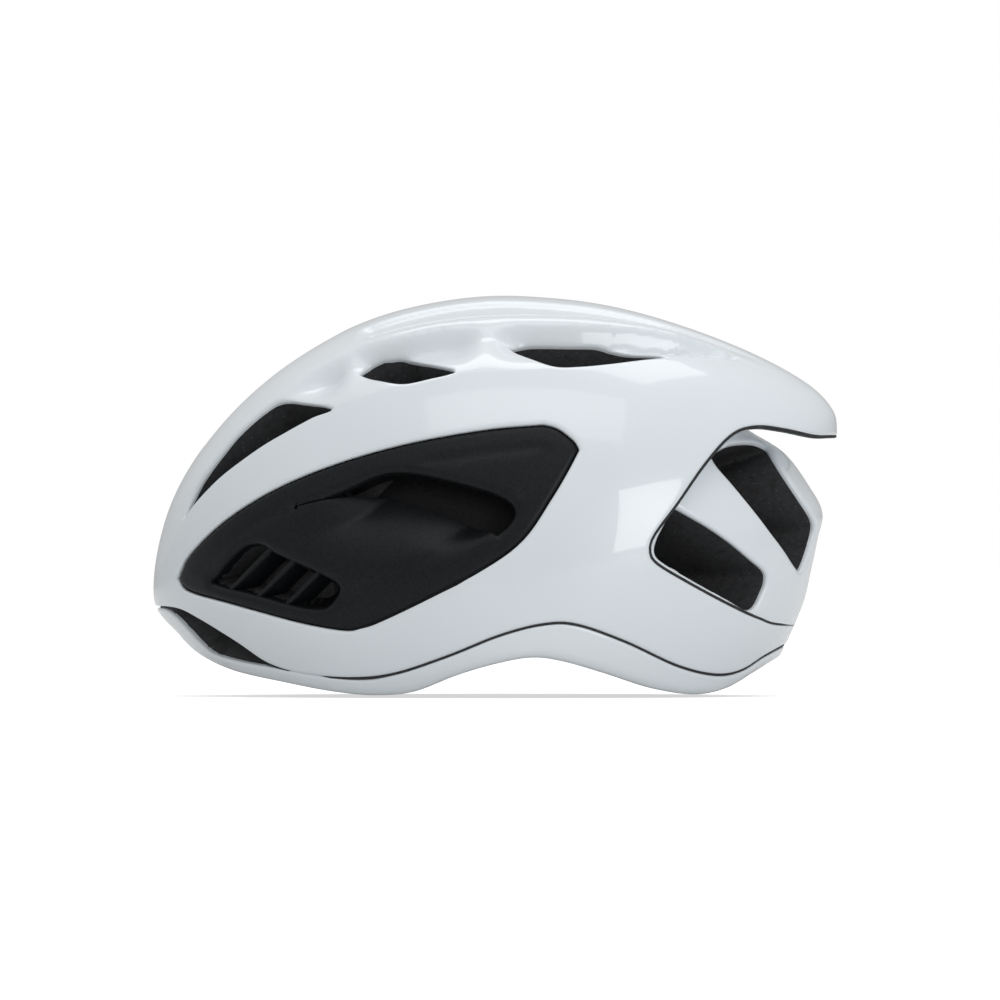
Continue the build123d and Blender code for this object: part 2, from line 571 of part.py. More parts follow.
def make_dial():
    """The dial with its rubber grip, its pinion and the screw that holds them together."""
    gear_x = RING_X + RING_R - 1.2
    face = outline_face(polygon(pinion_outline()), lambda y, z: (gear_x, y, z))
    shaft = rod((gear_x, 0, DIAL_Z), (DIAL_FRONT + 4, 0, DIAL_Z), SHAFT_R)
    screw_shank = rod((DIAL_FRONT - 1, 0, DIAL_Z), (DIAL_BACK - 2, 0, DIAL_Z), SCREW_R)
    screw_head = rod((DIAL_BACK - 2, 0, DIAL_Z), (DIAL_BACK - 0.6, 0, DIAL_Z), 2.4)
    screw = screw_shank + screw_head
    pinion = (extrude(face, amount=2.1, dir=(1, 0, 0)) + shaft) - screw
    knob = rod((DIAL_FRONT, 0, DIAL_Z), (DIAL_BACK, 0, DIAL_Z), DIAL_R - GRIP_DEEP)
    recess = rod((DIAL_BACK - 2, 0, DIAL_Z), (DIAL_BACK + 1, 0, DIAL_Z), DIAL_R - GRIP_DEEP - 2.5)
    boss = rod((DIAL_BACK - 4, 0, DIAL_Z), (DIAL_BACK, 0, DIAL_Z), 5)
    grip_from, grip_to = (DIAL_FRONT + 1, 0, DIAL_Z), (DIAL_BACK - 1, 0, DIAL_Z)
    grip = rod(grip_from, grip_to, DIAL_R) - rod(grip_from, grip_to, DIAL_R - GRIP_DEEP)
    for k in range(GRIP_NOTCHES):
        angle = 2 * pi * k / GRIP_NOTCHES
        y, z = DIAL_R * cos(angle), DIAL_Z + DIAL_R * sin(angle)
        grip = grip - rod((DIAL_FRONT, y, z), (DIAL_BACK, y, z), 1.1)
    return {
        "dial_pinion": pinion,
        "dial_screw": screw,
        "fit_dial": cut((knob - recess) + boss, [pinion, screw]),
        "dial_grip": grip,
    }


def make_fit_system():
    arm = make_arm()
    inner, outer = make_housing()
    return {
        "temple_clips": make_temple_clips(),
        "strip_guide": make_strip_guide(),
        "right_arm": arm,
        "left_arm": mirrored(arm),
        "left_rack": make_rack(-1),
        "right_rack": make_rack(1),
        "housing_inner": inner,
        "housing_outer": outer,
        "housing_screws": group(housing_screws(0)),
        "rear_cradle": make_cradle(),
        "occipital_pads": make_occipital_pads(),
        "height_strip": make_height_strip(),
    }


# ---- Straps -------------------------------------------------------------------------------------
def strap_outline(start, end):
    """Outline of a straight length of webbing seen from the side."""
    dx, dz = end[0] - start[0], end[1] - start[1]
    reach = hypot(dx, dz)
    nx, nz = -dz / reach * WEB_WIDE / 2, dx / reach * WEB_WIDE / 2
    (x0, z0), (x1, z1) = start, end
    return polygon([(x0 - nx, z0 - nz), (x1 - nx, z1 - nz), (x1 + nx, z1 + nz), (x0 + nx, z0 + nz)])


def make_chin_strap(layer):
    """Right half of the chin strap, stowed across the cavity: along the wall, then straight to the buckle."""
    x0, x1 = CHIN_X - WEB_WIDE / 2, CHIN_X + WEB_WIDE / 2
    along_wall = layer & block(x0, x1, CHORD_Y - 0.6, 100, CHIN_LOW, 140)
    half = WEB_THICK / 2
    return along_wall + block(x0, x1, BUCKLE_LONG - 6, CHORD_Y, CHORD_Z - half, CHORD_Z + half)


def make_buckle():
    """Side-release buckle: the socket on the left, and the plug with its tongue on the right."""
    x0, x1 = BUCKLE_X - BUCKLE_WIDE / 2, BUCKLE_X + BUCKLE_WIDE / 2
    z0, z1 = CHORD_Z - BUCKLE_THICK / 2, CHORD_Z + BUCKLE_THICK / 2
    wide, tall = WEB_WIDE / 2 + GAP, WEB_THICK / 2 + GAP
    slot = block(BUCKLE_X - wide, BUCKLE_X + wide, BUCKLE_LONG - 6.3, 40, CHORD_Z - tall, CHORD_Z + tall)
    tongue = block(x0 + 4, x1 - 4, 1 - TONGUE_LONG, 4, CHORD_Z - 2, CHORD_Z + 2)
    tongue_room = block(x0 + 3.6, x1 - 3.6, -TONGUE_LONG, 2, CHORD_Z - 2.4, CHORD_Z + 2.4)
    half = block(x0, x1, 0.2, BUCKLE_LONG, z0, z1)
    half = fillet(half.edges().filter_by(Axis.Y), 2.5)
    plug = (half - slot) + tongue
    socket = mirrored(half - slot) - tongue_room
    return socket, plug


def make_straps():
    layer = wall_layer(WEB_INSET, WEB_THICK)
    parts = {}
    for name, ends in (("front_strap", FRONT_STRAP), ("rear_strap", REAR_STRAP)):
        parts["right_" + name] = layer & side_prism(strap_outline(*ends), 30, 100)
    parts["right_divider"] = wall_layer(WEB_INSET + WEB_THICK + GAP, 2.6) & side_prism(polygon(DIVIDER), 30, 100)
    parts["right_chin_strap"] = make_chin_strap(layer)
    for name in list(parts):
        parts[name.replace("right", "left")] = mirrored(parts[name])
    socket, plug = make_buckle()
    parts["buckle_socket"] = socket
    parts["buckle_plug"] = plug
    parts["strap_anchors"] = make_anchors()
    return parts


def main():
    os.makedirs("parts", exist_ok=True)
    parts = make_shells() | make_pads() | make_fit_system() | make_dial() | make_straps()
    for name, shape in parts.items():
        export_step(group([shape]), f"parts/{name}.step")


if __name__ == "__main__":
    main()
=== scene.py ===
import json
from math import cos, pi, radians, sin

import bmesh
import bpy
import numpy as np
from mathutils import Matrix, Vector
from mathutils.geometry import delaunay_2d_cdt


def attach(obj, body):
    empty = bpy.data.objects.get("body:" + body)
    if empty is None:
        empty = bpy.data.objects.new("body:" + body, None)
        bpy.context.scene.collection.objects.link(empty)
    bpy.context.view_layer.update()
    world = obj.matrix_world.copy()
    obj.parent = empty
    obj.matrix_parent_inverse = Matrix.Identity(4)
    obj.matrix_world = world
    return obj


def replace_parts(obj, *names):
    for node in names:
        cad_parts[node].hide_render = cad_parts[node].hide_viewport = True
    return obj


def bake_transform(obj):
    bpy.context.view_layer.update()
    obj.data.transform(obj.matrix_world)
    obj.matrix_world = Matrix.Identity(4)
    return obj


# Looks of the cycling helmet. Outlines are side views, (x, z) in millimetres, in the CAD model's frame:
# +X towards the back of the head, +Y towards the wearer's right, +Z up. Depths are millimetres inwards.

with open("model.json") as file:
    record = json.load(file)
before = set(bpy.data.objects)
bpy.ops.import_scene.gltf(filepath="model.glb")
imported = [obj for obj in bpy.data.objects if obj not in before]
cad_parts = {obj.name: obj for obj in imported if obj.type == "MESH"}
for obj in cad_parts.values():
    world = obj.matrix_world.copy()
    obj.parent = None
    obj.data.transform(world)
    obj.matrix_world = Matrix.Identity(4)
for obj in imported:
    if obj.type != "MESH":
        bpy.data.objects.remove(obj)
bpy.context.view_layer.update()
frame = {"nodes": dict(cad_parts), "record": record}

MM = 0.001
STEP = 1.5  # spacing of points on the shells

# ---- Outer form, as in the CAD model
POLE = np.array([5.0, 50.0])
HALF_WIDTH = 104.0
FULLNESS = 2.15
UNROLL = 84.0  # millimetres per radian when a form is laid flat
EVEN_OUT = radians(15)  # corners of the side line fade over this angle, away from the middle plane
MIDDLE_LINE = [
    (-143.4, 44), (-141.5, 62), (-135.5, 82), (-125, 101), (-109, 121), (-88, 139), (-62, 154),
    (-36, 163), (-5, 167.8), (25, 167), (52, 163), (80, 155), (108, 144), (130, 132), (141, 121.5),
    (143.6, 112), (141.5, 95), (138, 75), (133, 52), (124.5, 27), (108, -2), (80, -32), (42, -56),
    (5, -64), (-35, -58), (-72, -41), (-102, -16), (-119, 6), (-131, 23), (-140.5, 34),
]
REAR_LINE = [
    (5, 150), (50, 143), (84, 128), (106, 112), (121.5, 102), (132, 88), (137.5, 77), (135.5, 66),
    (132.5, 52), (129, 38), (120, 18), (104, -6), (78, -34), (42, -56), (5, -62), (-60, -45),
    (-110, 10), (-115, 60), (-90, 110), (-45, 142),
]
RIM_LINE = [
    (-150, 44), (-143.6, 36.5), (-134, 27), (-124.5, 17), (-110, 10), (-90, 5.6), (-68, 1.6), (-50, 0.2),
    (-34, 1.8), (-16, 8.8), (0, 13.6), (15, 16.3), (28, 14.8), (46, 9.5), (66, 2.9), (84, 0.2),
    (97, 2.6), (108, 8.8), (116, 13.6), (124, 17.6), (135, 21), (150, 24),
]
SEAM_LINE = [
    (-150, 37.6), (-134.5, 37), (-124, 32.5), (-108, 22.8), (-94.5, 14), (-80, 9.8), (-60, 8.3), (-42, 10.3),
    (-20, 17.6), (2, 26.4), (20, 31), (34, 30.8), (54, 23.8), (76, 13.6), (92, 9.6), (103, 11.2),
    (113, 17.2), (124, 22.6), (135, 26), (150, 29),
]
LOWER_FRONT = [
    (-150, 36.6), (-139.4, 36.4), (-134, 33), (-128.1, 27), (-122.6, 21.3), (-117.6, 17.6), (-107, 14.6),
    (-92.4, 12.2), (-80, 9),
]
REAR_CUT = [
    (152, 109), (141.5, 109), (134, 109.2), (121, 112), (109, 113.2), (99, 109.8), (88, 98), (76, 81),
    (66.4, 68), (64.4, 61.8), (67, 56.2), (80, 48.2), (97, 39), (110, 33), (121.5, 30), (152, 31),
]

# ---- Side panel
PANEL_TOP = [
    (-133.2, 49.5), (-128, 59.5), (-113, 73.8), (-92, 86.8), (-66, 97.4), (-36, 105.8), (-4, 111.5),
    (20, 113.7),
]
PANEL_NOSE = [(20, 113.7), (25, 112.4), (29, 109.8), (32.8, 106.4), (34.4, 103.4)]
PANEL_BACK = [
    (34.4, 103.4), (29.4, 93.9), (23, 83.2), (12, 67), (-2, 56), (-27, 42.4), (-48, 32.2), (-56, 29.4),
    (-64, 28.4), (-84, 32), (-112, 39.6), (-129, 44.6), (-133.2, 49.5),
]
LIP_LINE = [
    (-84, 79.4), (-73, 83), (-62, 87.4), (-52, 92), (-43, 94.2), (-34, 93.8), (-22, 91.4), (-10, 88.2),
    (0, 85), (6, 81.6), (8.4, 77.4), (6, 72.4), (1, 68),
]
FLOOR_EDGE = [
    (1, 68), (-9, 71.4), (-20, 76.6), (-33, 81.6), (-45, 85.6), (-55, 86.6), (-66, 84.6), (-84, 79.4),
]
SCOOP_END = [(1, 68), (-5.3, 64.5), (-14.7, 59.2), (-25, 54.5), (-36, 50)]
FLOOR_START = [(-84, 79.4), (-95, 71), (-94, 60), (-80, 51), (-60, 47.5), (-36, 50)]
LOUVRE_EDGE = [
    (-119.5, 48), (-113, 56), (-106, 62.6), (-98.7, 63.8), (-92, 59.8), (-84, 56.2), (-75, 52), (-66, 47),
    (-66.2, 42.4), (-70, 38), (-74, 36.6), (-84, 37.8), (-103, 43), (-115, 46), (-119.5, 48),
]
SLATS = [((-112, 45), (-96, 61.5)), ((-101, 41), (-85, 57.5)), ((-89.5, 37), (-73.5, 53.5))]

# ---- Vents
RIDGE_LINE = [
    (-141.5, 54.6), (-138.2, 63.4), (-134.4, 71.8), (-128.1, 84.4), (-121.8, 94.1), (-113.4, 105),
    (-102.9, 115.9), (-92.4, 125.6), (-79.8, 134.8), (-65.1, 143.2), (-54.6, 147.8), (-31.5, 153.7),
    (-14.7, 156.2), (6.3, 157.5), (33.6, 157.3), (60.9, 154.6), (81.9, 149.9), (102.9, 141.1), (117.6, 134),
]
BAND_LINE = [
    (-140.7, 52.9), (-134, 67), (-126, 80.2), (-117, 91), (-107.1, 100.4), (-86.1, 113), (-67.2, 121),
    (-39.1, 130.2), (-16.8, 134.8), (25.2, 136.9), (46.2, 138.4), (73.5, 141.1), (102.9, 140.3), (119.7, 134),
]
FRONT_VENT = [
    (-129, 74.8), (-126.6, 80.8), (-121.4, 90.7), (-112.1, 103.3), (-105.8, 110.5), (-97, 118.2),
    (-89.5, 122.6), (-81.6, 122.7), (-67.6, 119.9), (-75.8, 116.3), (-87.4, 110), (-98, 103.7),
    (-111.7, 93.7), (-119.1, 86.9), (-125.2, 80.2), (-129, 74.8),
]
MIDDLE_VENT = [
    (-56.3, 134), (-52.7, 137.5), (-47.9, 140.6), (-44.1, 141.2), (-35.3, 140.4), (-25.7, 137.9),
    (-16.5, 135.3), (-27, 132.4), (-38.2, 130.2), (-48, 131.6), (-56.3, 134),
]
TOP_VENT = [
    (6.3, 144.7), (10.7, 145.7), (23.1, 146.2), (34.9, 145.9), (46.4, 145), (58.8, 143.2), (70.6, 141.3),
    (60.9, 140.2), (46.4, 138.4), (34.9, 137.4), (24.8, 137.4), (15, 140.6), (6.3, 144.7),
]
REAR_VENT_TOP = [
    (90.7, 100.4), (93.2, 103.3), (99, 106.3), (106.3, 107.2), (110.5, 106.7), (114.7, 104.6), (116.6, 101.6),
    (122, 93), (128.5, 83.2), (133, 76), (134.4, 70), (131.9, 60), (128.5, 52.3), (126, 54.3), (120.4, 62.6),
    (109.6, 76.6), (99.8, 88.6), (93.2, 96.3), (90.7, 100.4),
]
REAR_VENT_LOW = [
    (74.3, 79.8), (80.9, 76.1), (89.9, 70.8), (99, 64.3), (107.9, 56.8), (112.6, 52.7), (113.8, 49.4),
    (112.4, 44), (107.1, 35.8), (97, 40.7), (82, 49), (69.6, 56.6), (66.6, 60.6), (67.6, 66), (70.9, 72.6),
    (74.3, 79.8),
]
# This one is seen from above, (x, y).
CENTRE_VENT = [(-124, 0), (-121, -7), (-112, -10.5), (-96, -11.5), (-80, -10.5), (-68, -7.5), (-61, 0)]

# ---- Head cavity
HEAD_X, HEAD_Z = -3.0, 30.0
HEAD_LONG, HEAD_WIDE, HEAD_HIGH = 104.0, 81.0, 104.0


# ---- Lines and outlines
def resample(line, step):
    """Even steps along a dense line."""
    run = np.concatenate([[0], np.cumsum(np.hypot(*np.diff(line, axis=0).T))])
    count = max(2, int(round(run[-1] / step)) + 1)
    at = np.linspace(0, run[-1], count)
    return np.column_stack([np.interp(at, run, line[:, k]) for k in range(2)])


def smooth_line(points, step=2.0, closed=False):
    """Curve through points, cut into even steps."""
    p = np.array(points, float)
    if closed:
        p = np.vstack([p[-1], p, p[0], p[1]])
    else:
        p = np.vstack([2 * p[0] - p[1], p, 2 * p[-1] - p[-2]])
    t = np.linspace(0, 1, 12, endpoint=False)[:, None]
    parts = []
    for a, b, c, d in zip(p, p[1:], p[2:], p[3:]):
        bend, twist = 2 * a - 5 * b + 4 * c - d, 3 * b - a - 3 * c + d
        parts.append(0.5 * (2 * b + (c - a) * t + bend * t**2 + twist * t**3))
    return resample(np.vstack(parts + [p[-2][None]]), step)


def outline(runs, step=2.0):
    """Closed outline from smooth runs that meet at corners. The last point isn't repeated."""
    return np.vstack([smooth_line(run, step)[:-1] for run in runs])


def smoothstep(t):
    t = np.clip(t, 0, 1)
    return t * t * (3 - 2 * t)


def inside(points, loop):
    """True for each point inside a closed loop."""
    result = np.zeros(len(points), bool)
    x, y = points[:, 0], points[:, 1]
    for (x0, y0), (x1, y1) in zip(loop, np.roll(loop, -1, axis=0)):
        if y0 == y1:
            continue
        crosses = (y0 > y) != (y1 > y)
        result ^= crosses & (x < (x1 - x0) * (y - y0) / (y1 - y0) + x0)
    return result


def distance(points, line, closed=False):
    """Distance from each point to a line of many short pieces."""
    ends = np.roll(line, -1, axis=0) if closed else line[1:]
    starts = line if closed else line[:-1]
    best = np.full(len(points), 1e9)
    for a, b in zip(starts, ends):
        d = b - a
        t = np.clip(((points - a) @ d) / max(d @ d, 1e-12), 0, 1)
        off = points - a - t[:, None] * d
        best = np.minimum(best, np.einsum("ij,ij->i", off, off))
    return np.sqrt(best)


def polar(points):
    """Distance from the origin and angle of each flat point."""
    return np.hypot(points[:, 0], points[:, 1]), np.arctan2(points[:, 1], points[:, 0])


def directions(angle):
    return np.column_stack([np.cos(angle), np.sin(angle)])


# ---- Forms
class Form:
    """Rounded form whose sections across Y are scaled copies of one side line about the pole.

    Its left half is laid flat as a disc: the pole in the middle and the middle plane round the edge.
    """

    def __init__(self, line):
        away, angle = polar(smooth_line(line, 1.0, closed=True) - POLE)
        order = np.argsort(angle)
        self.angles, self.radii = angle[order], away[order]
        self.turns = np.linspace(-pi, pi, 360, endpoint=False)
        apart = (self.turns[:, None] - self.turns[None] + pi) % (2 * pi) - pi
        weights = np.exp(-(apart**2) / (2 * EVEN_OUT**2))
        self.even_radii = weights @ self.reach(self.turns) / weights.sum(1)

    def reach(self, angle):
        return np.interp(angle, self.angles, self.radii, period=2 * pi)

    def covers(self, line, margin=0.0):
        """True for side-view points within the side line."""
        away, angle = polar(line - POLE)
        return away < self.reach(angle) - margin

    def flat(self, line):
        """Side-view points on the flat disc, kept within its edge."""
        away, angle = polar(np.asarray(line, float) - POLE)
        share = np.clip(away / self.reach(angle), 0, 1)
        lean = np.arcsin(share ** (FULLNESS / 2))
        return UNROLL * lean[:, None] * directions(angle)

    def flat_from_top(self, line):
        """Points seen from above, (x, y) with y <= 0, on the upper side of the flat disc."""
        angle = np.linspace(radians(8), radians(172), 800)
        result = []
        for x, y in line:
            share_y = (abs(y) / HALF_WIDTH) ** (FULLNESS / 2)
            share = np.sin(np.arccos(share_y)) ** (2 / FULLNESS)
            xs = POLE[0] + share * self.reach(angle) * np.cos(angle)
            here = np.interp(-x, -xs, angle)
            result.append(UNROLL * np.arccos(share_y) * np.array([cos(here), sin(here)]))
        return np.array(result)

    def edge(self, a, b, step=2.0):
        """Points along the middle plane, on the disc's edge, between two flat points."""
        start, end = np.arctan2(a[1], a[0]), np.arctan2(b[1], b[0])
        turn = (end - start + pi) % (2 * pi) - pi
        count = max(2, int(abs(turn) * UNROLL * pi / 2 / step) + 1)
        angle = start + np.linspace(0, turn, count)
        return UNROLL * pi / 2 * directions(angle)

    def on_edge(self, q):
        return np.abs(polar(q)[0] / UNROLL - pi / 2) < 1e-5

    def point(self, q):
        away, angle = polar(q)
        lean = away / UNROLL
        share, reach = np.abs(np.sin(lean)) ** (2 / FULLNESS), self.reach(angle)
        edge = share**6
        even = np.interp(angle, self.turns, self.even_radii, period=2 * pi) * (1 - edge) + reach * edge
        high = np.clip(1 - (share * reach / even) ** FULLNESS, 0, 1) ** (1 / FULLNESS)
        y = -HALF_WIDTH * np.sign(np.cos(lean)) * high
        reach = share * reach
        return np.column_stack([POLE[0] + reach * np.cos(angle), y, POLE[1] + reach * np.sin(angle)])

    def normal(self, q):
        e = 0.8
        across = self.point(q + [e, 0]) - self.point(q - [e, 0])
        along = self.point(q + [0, e]) - self.point(q - [0, e])
        n = np.cross(across, along)
        n /= np.linalg.norm(n, axis=1)[:, None]
        outward = np.einsum("ij,ij->i", n, self.point(q) - [POLE[0], 0, POLE[1]])
        n *= np.sign(outward)[:, None]
        n[self.on_edge(q), 1] = 0
        return n / np.linalg.norm(n, axis=1)[:, None]

    def place(self, q, depth):
        p = self.point(q) - self.normal(q) * np.reshape(depth, (-1, 1))
        p[self.on_edge(q), 1] = 0
        return p

    def locate(self, line, depth_at):
        """Flat loop that shows at the given side-view places once it is sunk by depth_at."""
        aim = np.array(line, float)
        shift = np.zeros_like(aim)
        for _ in range(5):
            q = self.flat(aim + shift)
            shift += 0.7 * (aim - self.place(q, depth_at(q))[:, [0, 2]])
            for _ in range(6):
                shift = (np.roll(shift, 1, axis=0) + 2 * shift + np.roll(shift, -1, axis=0)) / 4
        return self.flat(aim + shift)


OUTER, REAR = Form(MIDDLE_LINE), Form(REAR_LINE)


def flat_line(line, step=STEP):
    return OUTER.flat(smooth_line(line, step))


# ---- Meshes
def boundary_distance(points, loops):
    return np.min([distance(points, loop, closed=True) for loop in loops], axis=0)


def ring_points(loop, offset):
    """Copy of a closed loop moved sideways, to both sides; the caller keeps the useful ones."""
    ahead = np.roll(loop, -1, axis=0) - np.roll(loop, 1, axis=0)
    normal = np.column_stack([-ahead[:, 1], ahead[:, 0]])
    normal /= np.maximum(np.linalg.norm(normal, axis=1), 1e-9)[:, None]
    return np.vstack([loop + normal * offset, loop - normal * offset])


def between(points, loop, holes):
    """True for each point inside the outline and outside its holes."""
    return inside(points, loop) & ~np.any([inside(points, hole) for hole in holes] or [False], axis=0)


def free_points(loops, rings, spacing, creases):
    """Points beside the boundary in rows, along the creases, and on a triangular grid elsewhere."""
    low, high = loops[0].min(0), loops[0].max(0)
    xs, ys = np.arange(low[0], high[0], spacing), np.arange(low[1], high[1], spacing * 0.866)
    grid = np.array([(x + spacing / 2 * (j % 2), y) for j, y in enumerate(ys) for x in xs])
    rows = [(np.vstack([ring_points(each, r) for each in loops]), r * 0.85) for r in rings]
    rows += [(line, spacing * 0.5) for line in creases]
    keep = [cloud[boundary_distance(cloud, loops) > gap] for cloud, gap in rows]
    clear = boundary_distance(grid, loops) > rings[-1] + spacing * 0.6
    for line in creases:
        clear &= distance(grid, line) > spacing * 0.6
    free = np.vstack(keep + [grid[clear]])
    return free[between(free, loops[0], loops[1:])]


def fill(loop, holes, rings, spacing, creases=()):
    """Triangles over a flat outline with holes. Returns points, triangles and the boundary loops' indices."""
    loops = [loop, *holes]
    points = np.vstack(loops + [free_points(loops, rings, spacing, creases)])
    edges, ranges, start = [], [], 0
    for each in loops:
        index = list(range(start, start + len(each)))
        edges += list(zip(index, index[1:] + index[:1]))
        ranges.append(index)
        start += len(each)
    out = delaunay_2d_cdt([Vector(p) for p in points.tolist()], edges, [], 0, 1e-5)
    verts, faces, sources = np.array([v[:] for v in out[0]]), np.array(out[2]), out[3]
    tris = faces[between(verts[faces].mean(1), loop, holes)]
    new_index = {k: new for new, old in enumerate(sources) for k in old}
    ranges = [[new_index[k] for k in index] for index in ranges]
    a, b, c = (verts[tris][:, k] for k in range(3))
    turn = (b - a)[:, 0] * (c - a)[:, 1] - (b - a)[:, 1] * (c - a)[:, 0]
    tris[turn < 0] = tris[turn < 0][:, ::-1]
    return verts, tris, ranges


def add_object(name, data):
    obj = bpy.data.objects.new(name, data)
    bpy.context.scene.collection.objects.link(obj)
    return obj


def surface(form, *outline_and_rows):
    """As fill, with the triangles turned so that they look outwards on the form."""
    verts, tris, ranges = fill(*outline_and_rows)
    a, b, c = (form.point(verts)[tris[:, k]] for k in range(3))
    outward = np.einsum("ij,ij->i", np.cross(b - a, c - a), (a + b + c) / 3 - [POLE[0], 0, POLE[1]])
    return verts, tris[:, ::-1] if outward.sum() < 0 else tris, ranges


def make_object(name, points, faces, material, body, smooth_angle=40):
    mesh = bpy.data.meshes.new(name)
    mesh.from_pydata((np.asarray(points) * MM).tolist(), [], [list(map(int, f)) for f in faces])
    mesh.validate()
    mesh.update()
    mesh.shade_smooth()
    mesh.set_sharp_from_angle(angle=radians(smooth_angle))
    mesh.materials.append(material)
    obj = add_object(name, mesh)
    if body:
        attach(obj, body)
    return obj


def second_material(obj, material, chosen):
    """Gives another material to the chosen faces."""
    obj.data.materials.append(material)
    obj.data.polygons.foreach_set("material_index", chosen.astype(np.int32))


def grid_faces(rows, count, ring=False, tube=False, flip=False):
    """Faces between rows of points. A ring's rows are closed, and a tube's last row meets its first."""
    total = (rows if tube else rows + 1) * count
    faces = []
    for r in range(rows):
        for k in range(count if ring else count - 1):
            a, b = r * count + k, r * count + (k + 1) % count
            c, d = (b + count) % total, (a + count) % total
            faces.append([a, d, c, b] if flip else [a, b, c, d])
    return faces


def joined(pieces):
    """One set of points and faces from several."""
    faces, count = [], 0
    for points, more in pieces:
        faces += [[int(k) + count for k in f] for f in more]
        count += len(points)
    return np.vstack([points for points, _ in pieces]), faces


def both_sides(points, faces):
    """Adds the mirror image on the other side, welded where points lie on the middle plane."""
    points = np.asarray(points, float)
    middle = np.abs(points[:, 1]) < 1e-6
    image = np.where(middle, np.arange(len(points)), len(points) + np.cumsum(~middle) - 1)
    mirrored = points[~middle] * [1, -1, 1]
    flipped = [[int(image[k]) for k in reversed(f)] for f in faces]
    return np.vstack([points, mirrored]), [list(f) for f in faces] + flipped


def thick_sheet(form, verts, tris, loops, depth, thick, walls=4):
    """Closed solid: an outer face, an inner face, and a wall of several rows round each loop."""
    outer, inner = form.place(verts, depth), form.place(verts, depth + thick)
    count = len(verts)
    points = [outer, inner]
    faces = [list(t) for t in tris] + [[count + k for k in reversed(t)] for t in tris]
    on_middle = np.abs(outer[:, 1]) < 1e-9
    start = 2 * count
    for loop in loops:
        index = np.array(loop)
        rows = [index]
        for r in range(1, walls):
            t = r / walls
            points.append(outer[index] * (1 - t) + inner[index] * t)
            rows.append(np.arange(start, start + len(index)))
            start += len(index)
        rows.append(index + count)
        for upper, lower in zip(rows, rows[1:]):
            for k in range(len(index)):
                j = (k + 1) % len(index)
                if on_middle[index[k]] and on_middle[index[j]]:
                    continue
                faces.append([int(upper[j]), int(upper[k]), int(lower[k]), int(lower[j])])
    return np.vstack(points), faces


def rounding(d, radius):
    """Depth of a rolled edge at distance d from it."""
    t = np.clip(1 - d / radius, 0, 1)
    return radius * (1 - np.sqrt(1 - t * t * 0.98))


# ---- The shells' relief
RIDGE, BAND = flat_line(RIDGE_LINE, 2.0), flat_line(BAND_LINE, 2.0)
CHANNEL = np.vstack([RIDGE, BAND[::-1]])
BELOW_RIDGE = np.vstack([RIDGE, OUTER.flat([(150, 134), (150, -60), (-150, -60), (-150, 50)])])
CHANNEL_DEEP, CHANNEL_FROM = 8.5, -90.0  # full depth, and where the valley starts to sink
BRIDGES = [(-62, 7, 0.45), (-4, 9, 0.6)]  # ribs across the valley: place along X, half width, how full


def channel_depth(q):
    """The long valley on each side of the middle ridge, with ribs between its vents."""
    to_ridge, to_band = distance(q, RIDGE), distance(q, BAND)
    width = to_ridge + to_band
    t = to_ridge / np.maximum(width, 1e-6)
    shape = smoothstep(t / 0.28) * smoothstep((1 - t) / 0.75)
    deep = np.minimum(CHANNEL_DEEP, 0.42 * width)
    x = OUTER.point(q)[:, 0]
    deep = deep * (0.2 + 0.8 * smoothstep((x - CHANNEL_FROM) / 26))
    for at, half, filled in BRIDGES:
        deep = deep * (1 - filled * np.exp(-(((x - at) / half) ** 2)))
    return np.where(inside(q, CHANNEL), deep * shape, 0)


CREST_WIDE, CREST_HIGH, CREST_FROM, CREST_TO = 25.0, 2.2, -58.0, 75.0


def crest_depth(q):
    """Shallow valleys between the flat strip along the top and the two side ridges."""
    p = OUTER.point(q)
    half = CREST_WIDE * (1 - 0.3 * smoothstep((p[:, 0] - 20) / 90))
    side = smoothstep((np.abs(p[:, 1]) - half) / 4) * smoothstep((distance(q, RIDGE) - 1) / 9)
    behind = smoothstep((p[:, 0] - CREST_FROM) / 6) * (1 - smoothstep((p[:, 0] - CREST_TO) / 45))
    above = ~inside(q, BELOW_RIDGE)
    return np.where(above, CREST_HIGH * side * behind, 0)


def relief(q):
    return channel_depth(q) + crest_depth(q)


def clipped(form, line, step=2.0):
    """The part of a side-view line that lies on the form, ending exactly on the middle plane."""
    dense = smooth_line(line, 0.5)
    keep = np.flatnonzero(form.covers(dense))
    return resample(form.flat(dense[max(keep[0] - 1, 0) : keep[-1] + 2]), step)


SEAM, RIM = clipped(OUTER, SEAM_LINE, STEP), clipped(OUTER, RIM_LINE, STEP)
TAIL_CUT = clipped(OUTER, REAR_CUT, STEP)
PANEL = OUTER.flat(outline([PANEL_TOP, PANEL_NOSE, PANEL_BACK], STEP))
LOUVRE = OUTER.flat(outline([LOUVRE_EDGE], STEP))
LIP, FLOOR = flat_line(LIP_LINE), flat_line(FLOOR_EDGE)
SCOOP = np.vstack([LIP[:-1], FLOOR[:-1]])
SKIN_EDGE, VENT_ROLL, REAR_ROLL, PANEL_GAP, SKIN = 1.0, 1.2, 1.6, 0.5, 1.0
RIM_ROLL, RIM_SKIN, LOWER_SKIN = 3.0, 1.5, 1.4
SHELL_RINGS = (0.35, 0.9, 1.7, 2.8)  # rows of points beside an edge of a shell
VENTS = [
    OUTER.locate(outline([line], STEP), lambda q: relief(q) + VENT_ROLL)
    for line in (FRONT_VENT, MIDDLE_VENT, TOP_VENT)
]
REAR_VENTS = [REAR.flat(outline([line], STEP)) for line in (REAR_VENT_TOP, REAR_VENT_LOW)]


def centre_slot():
    """Left half of the centre vent's edge, laid flat, from front to back."""
    slot = resample(OUTER.flat_from_top(smooth_line(CENTRE_VENT, 1.0)), STEP)
    for end in (0, -1):
        slot[end] = OUTER.edge(slot[end], slot[end])[0]
    return slot


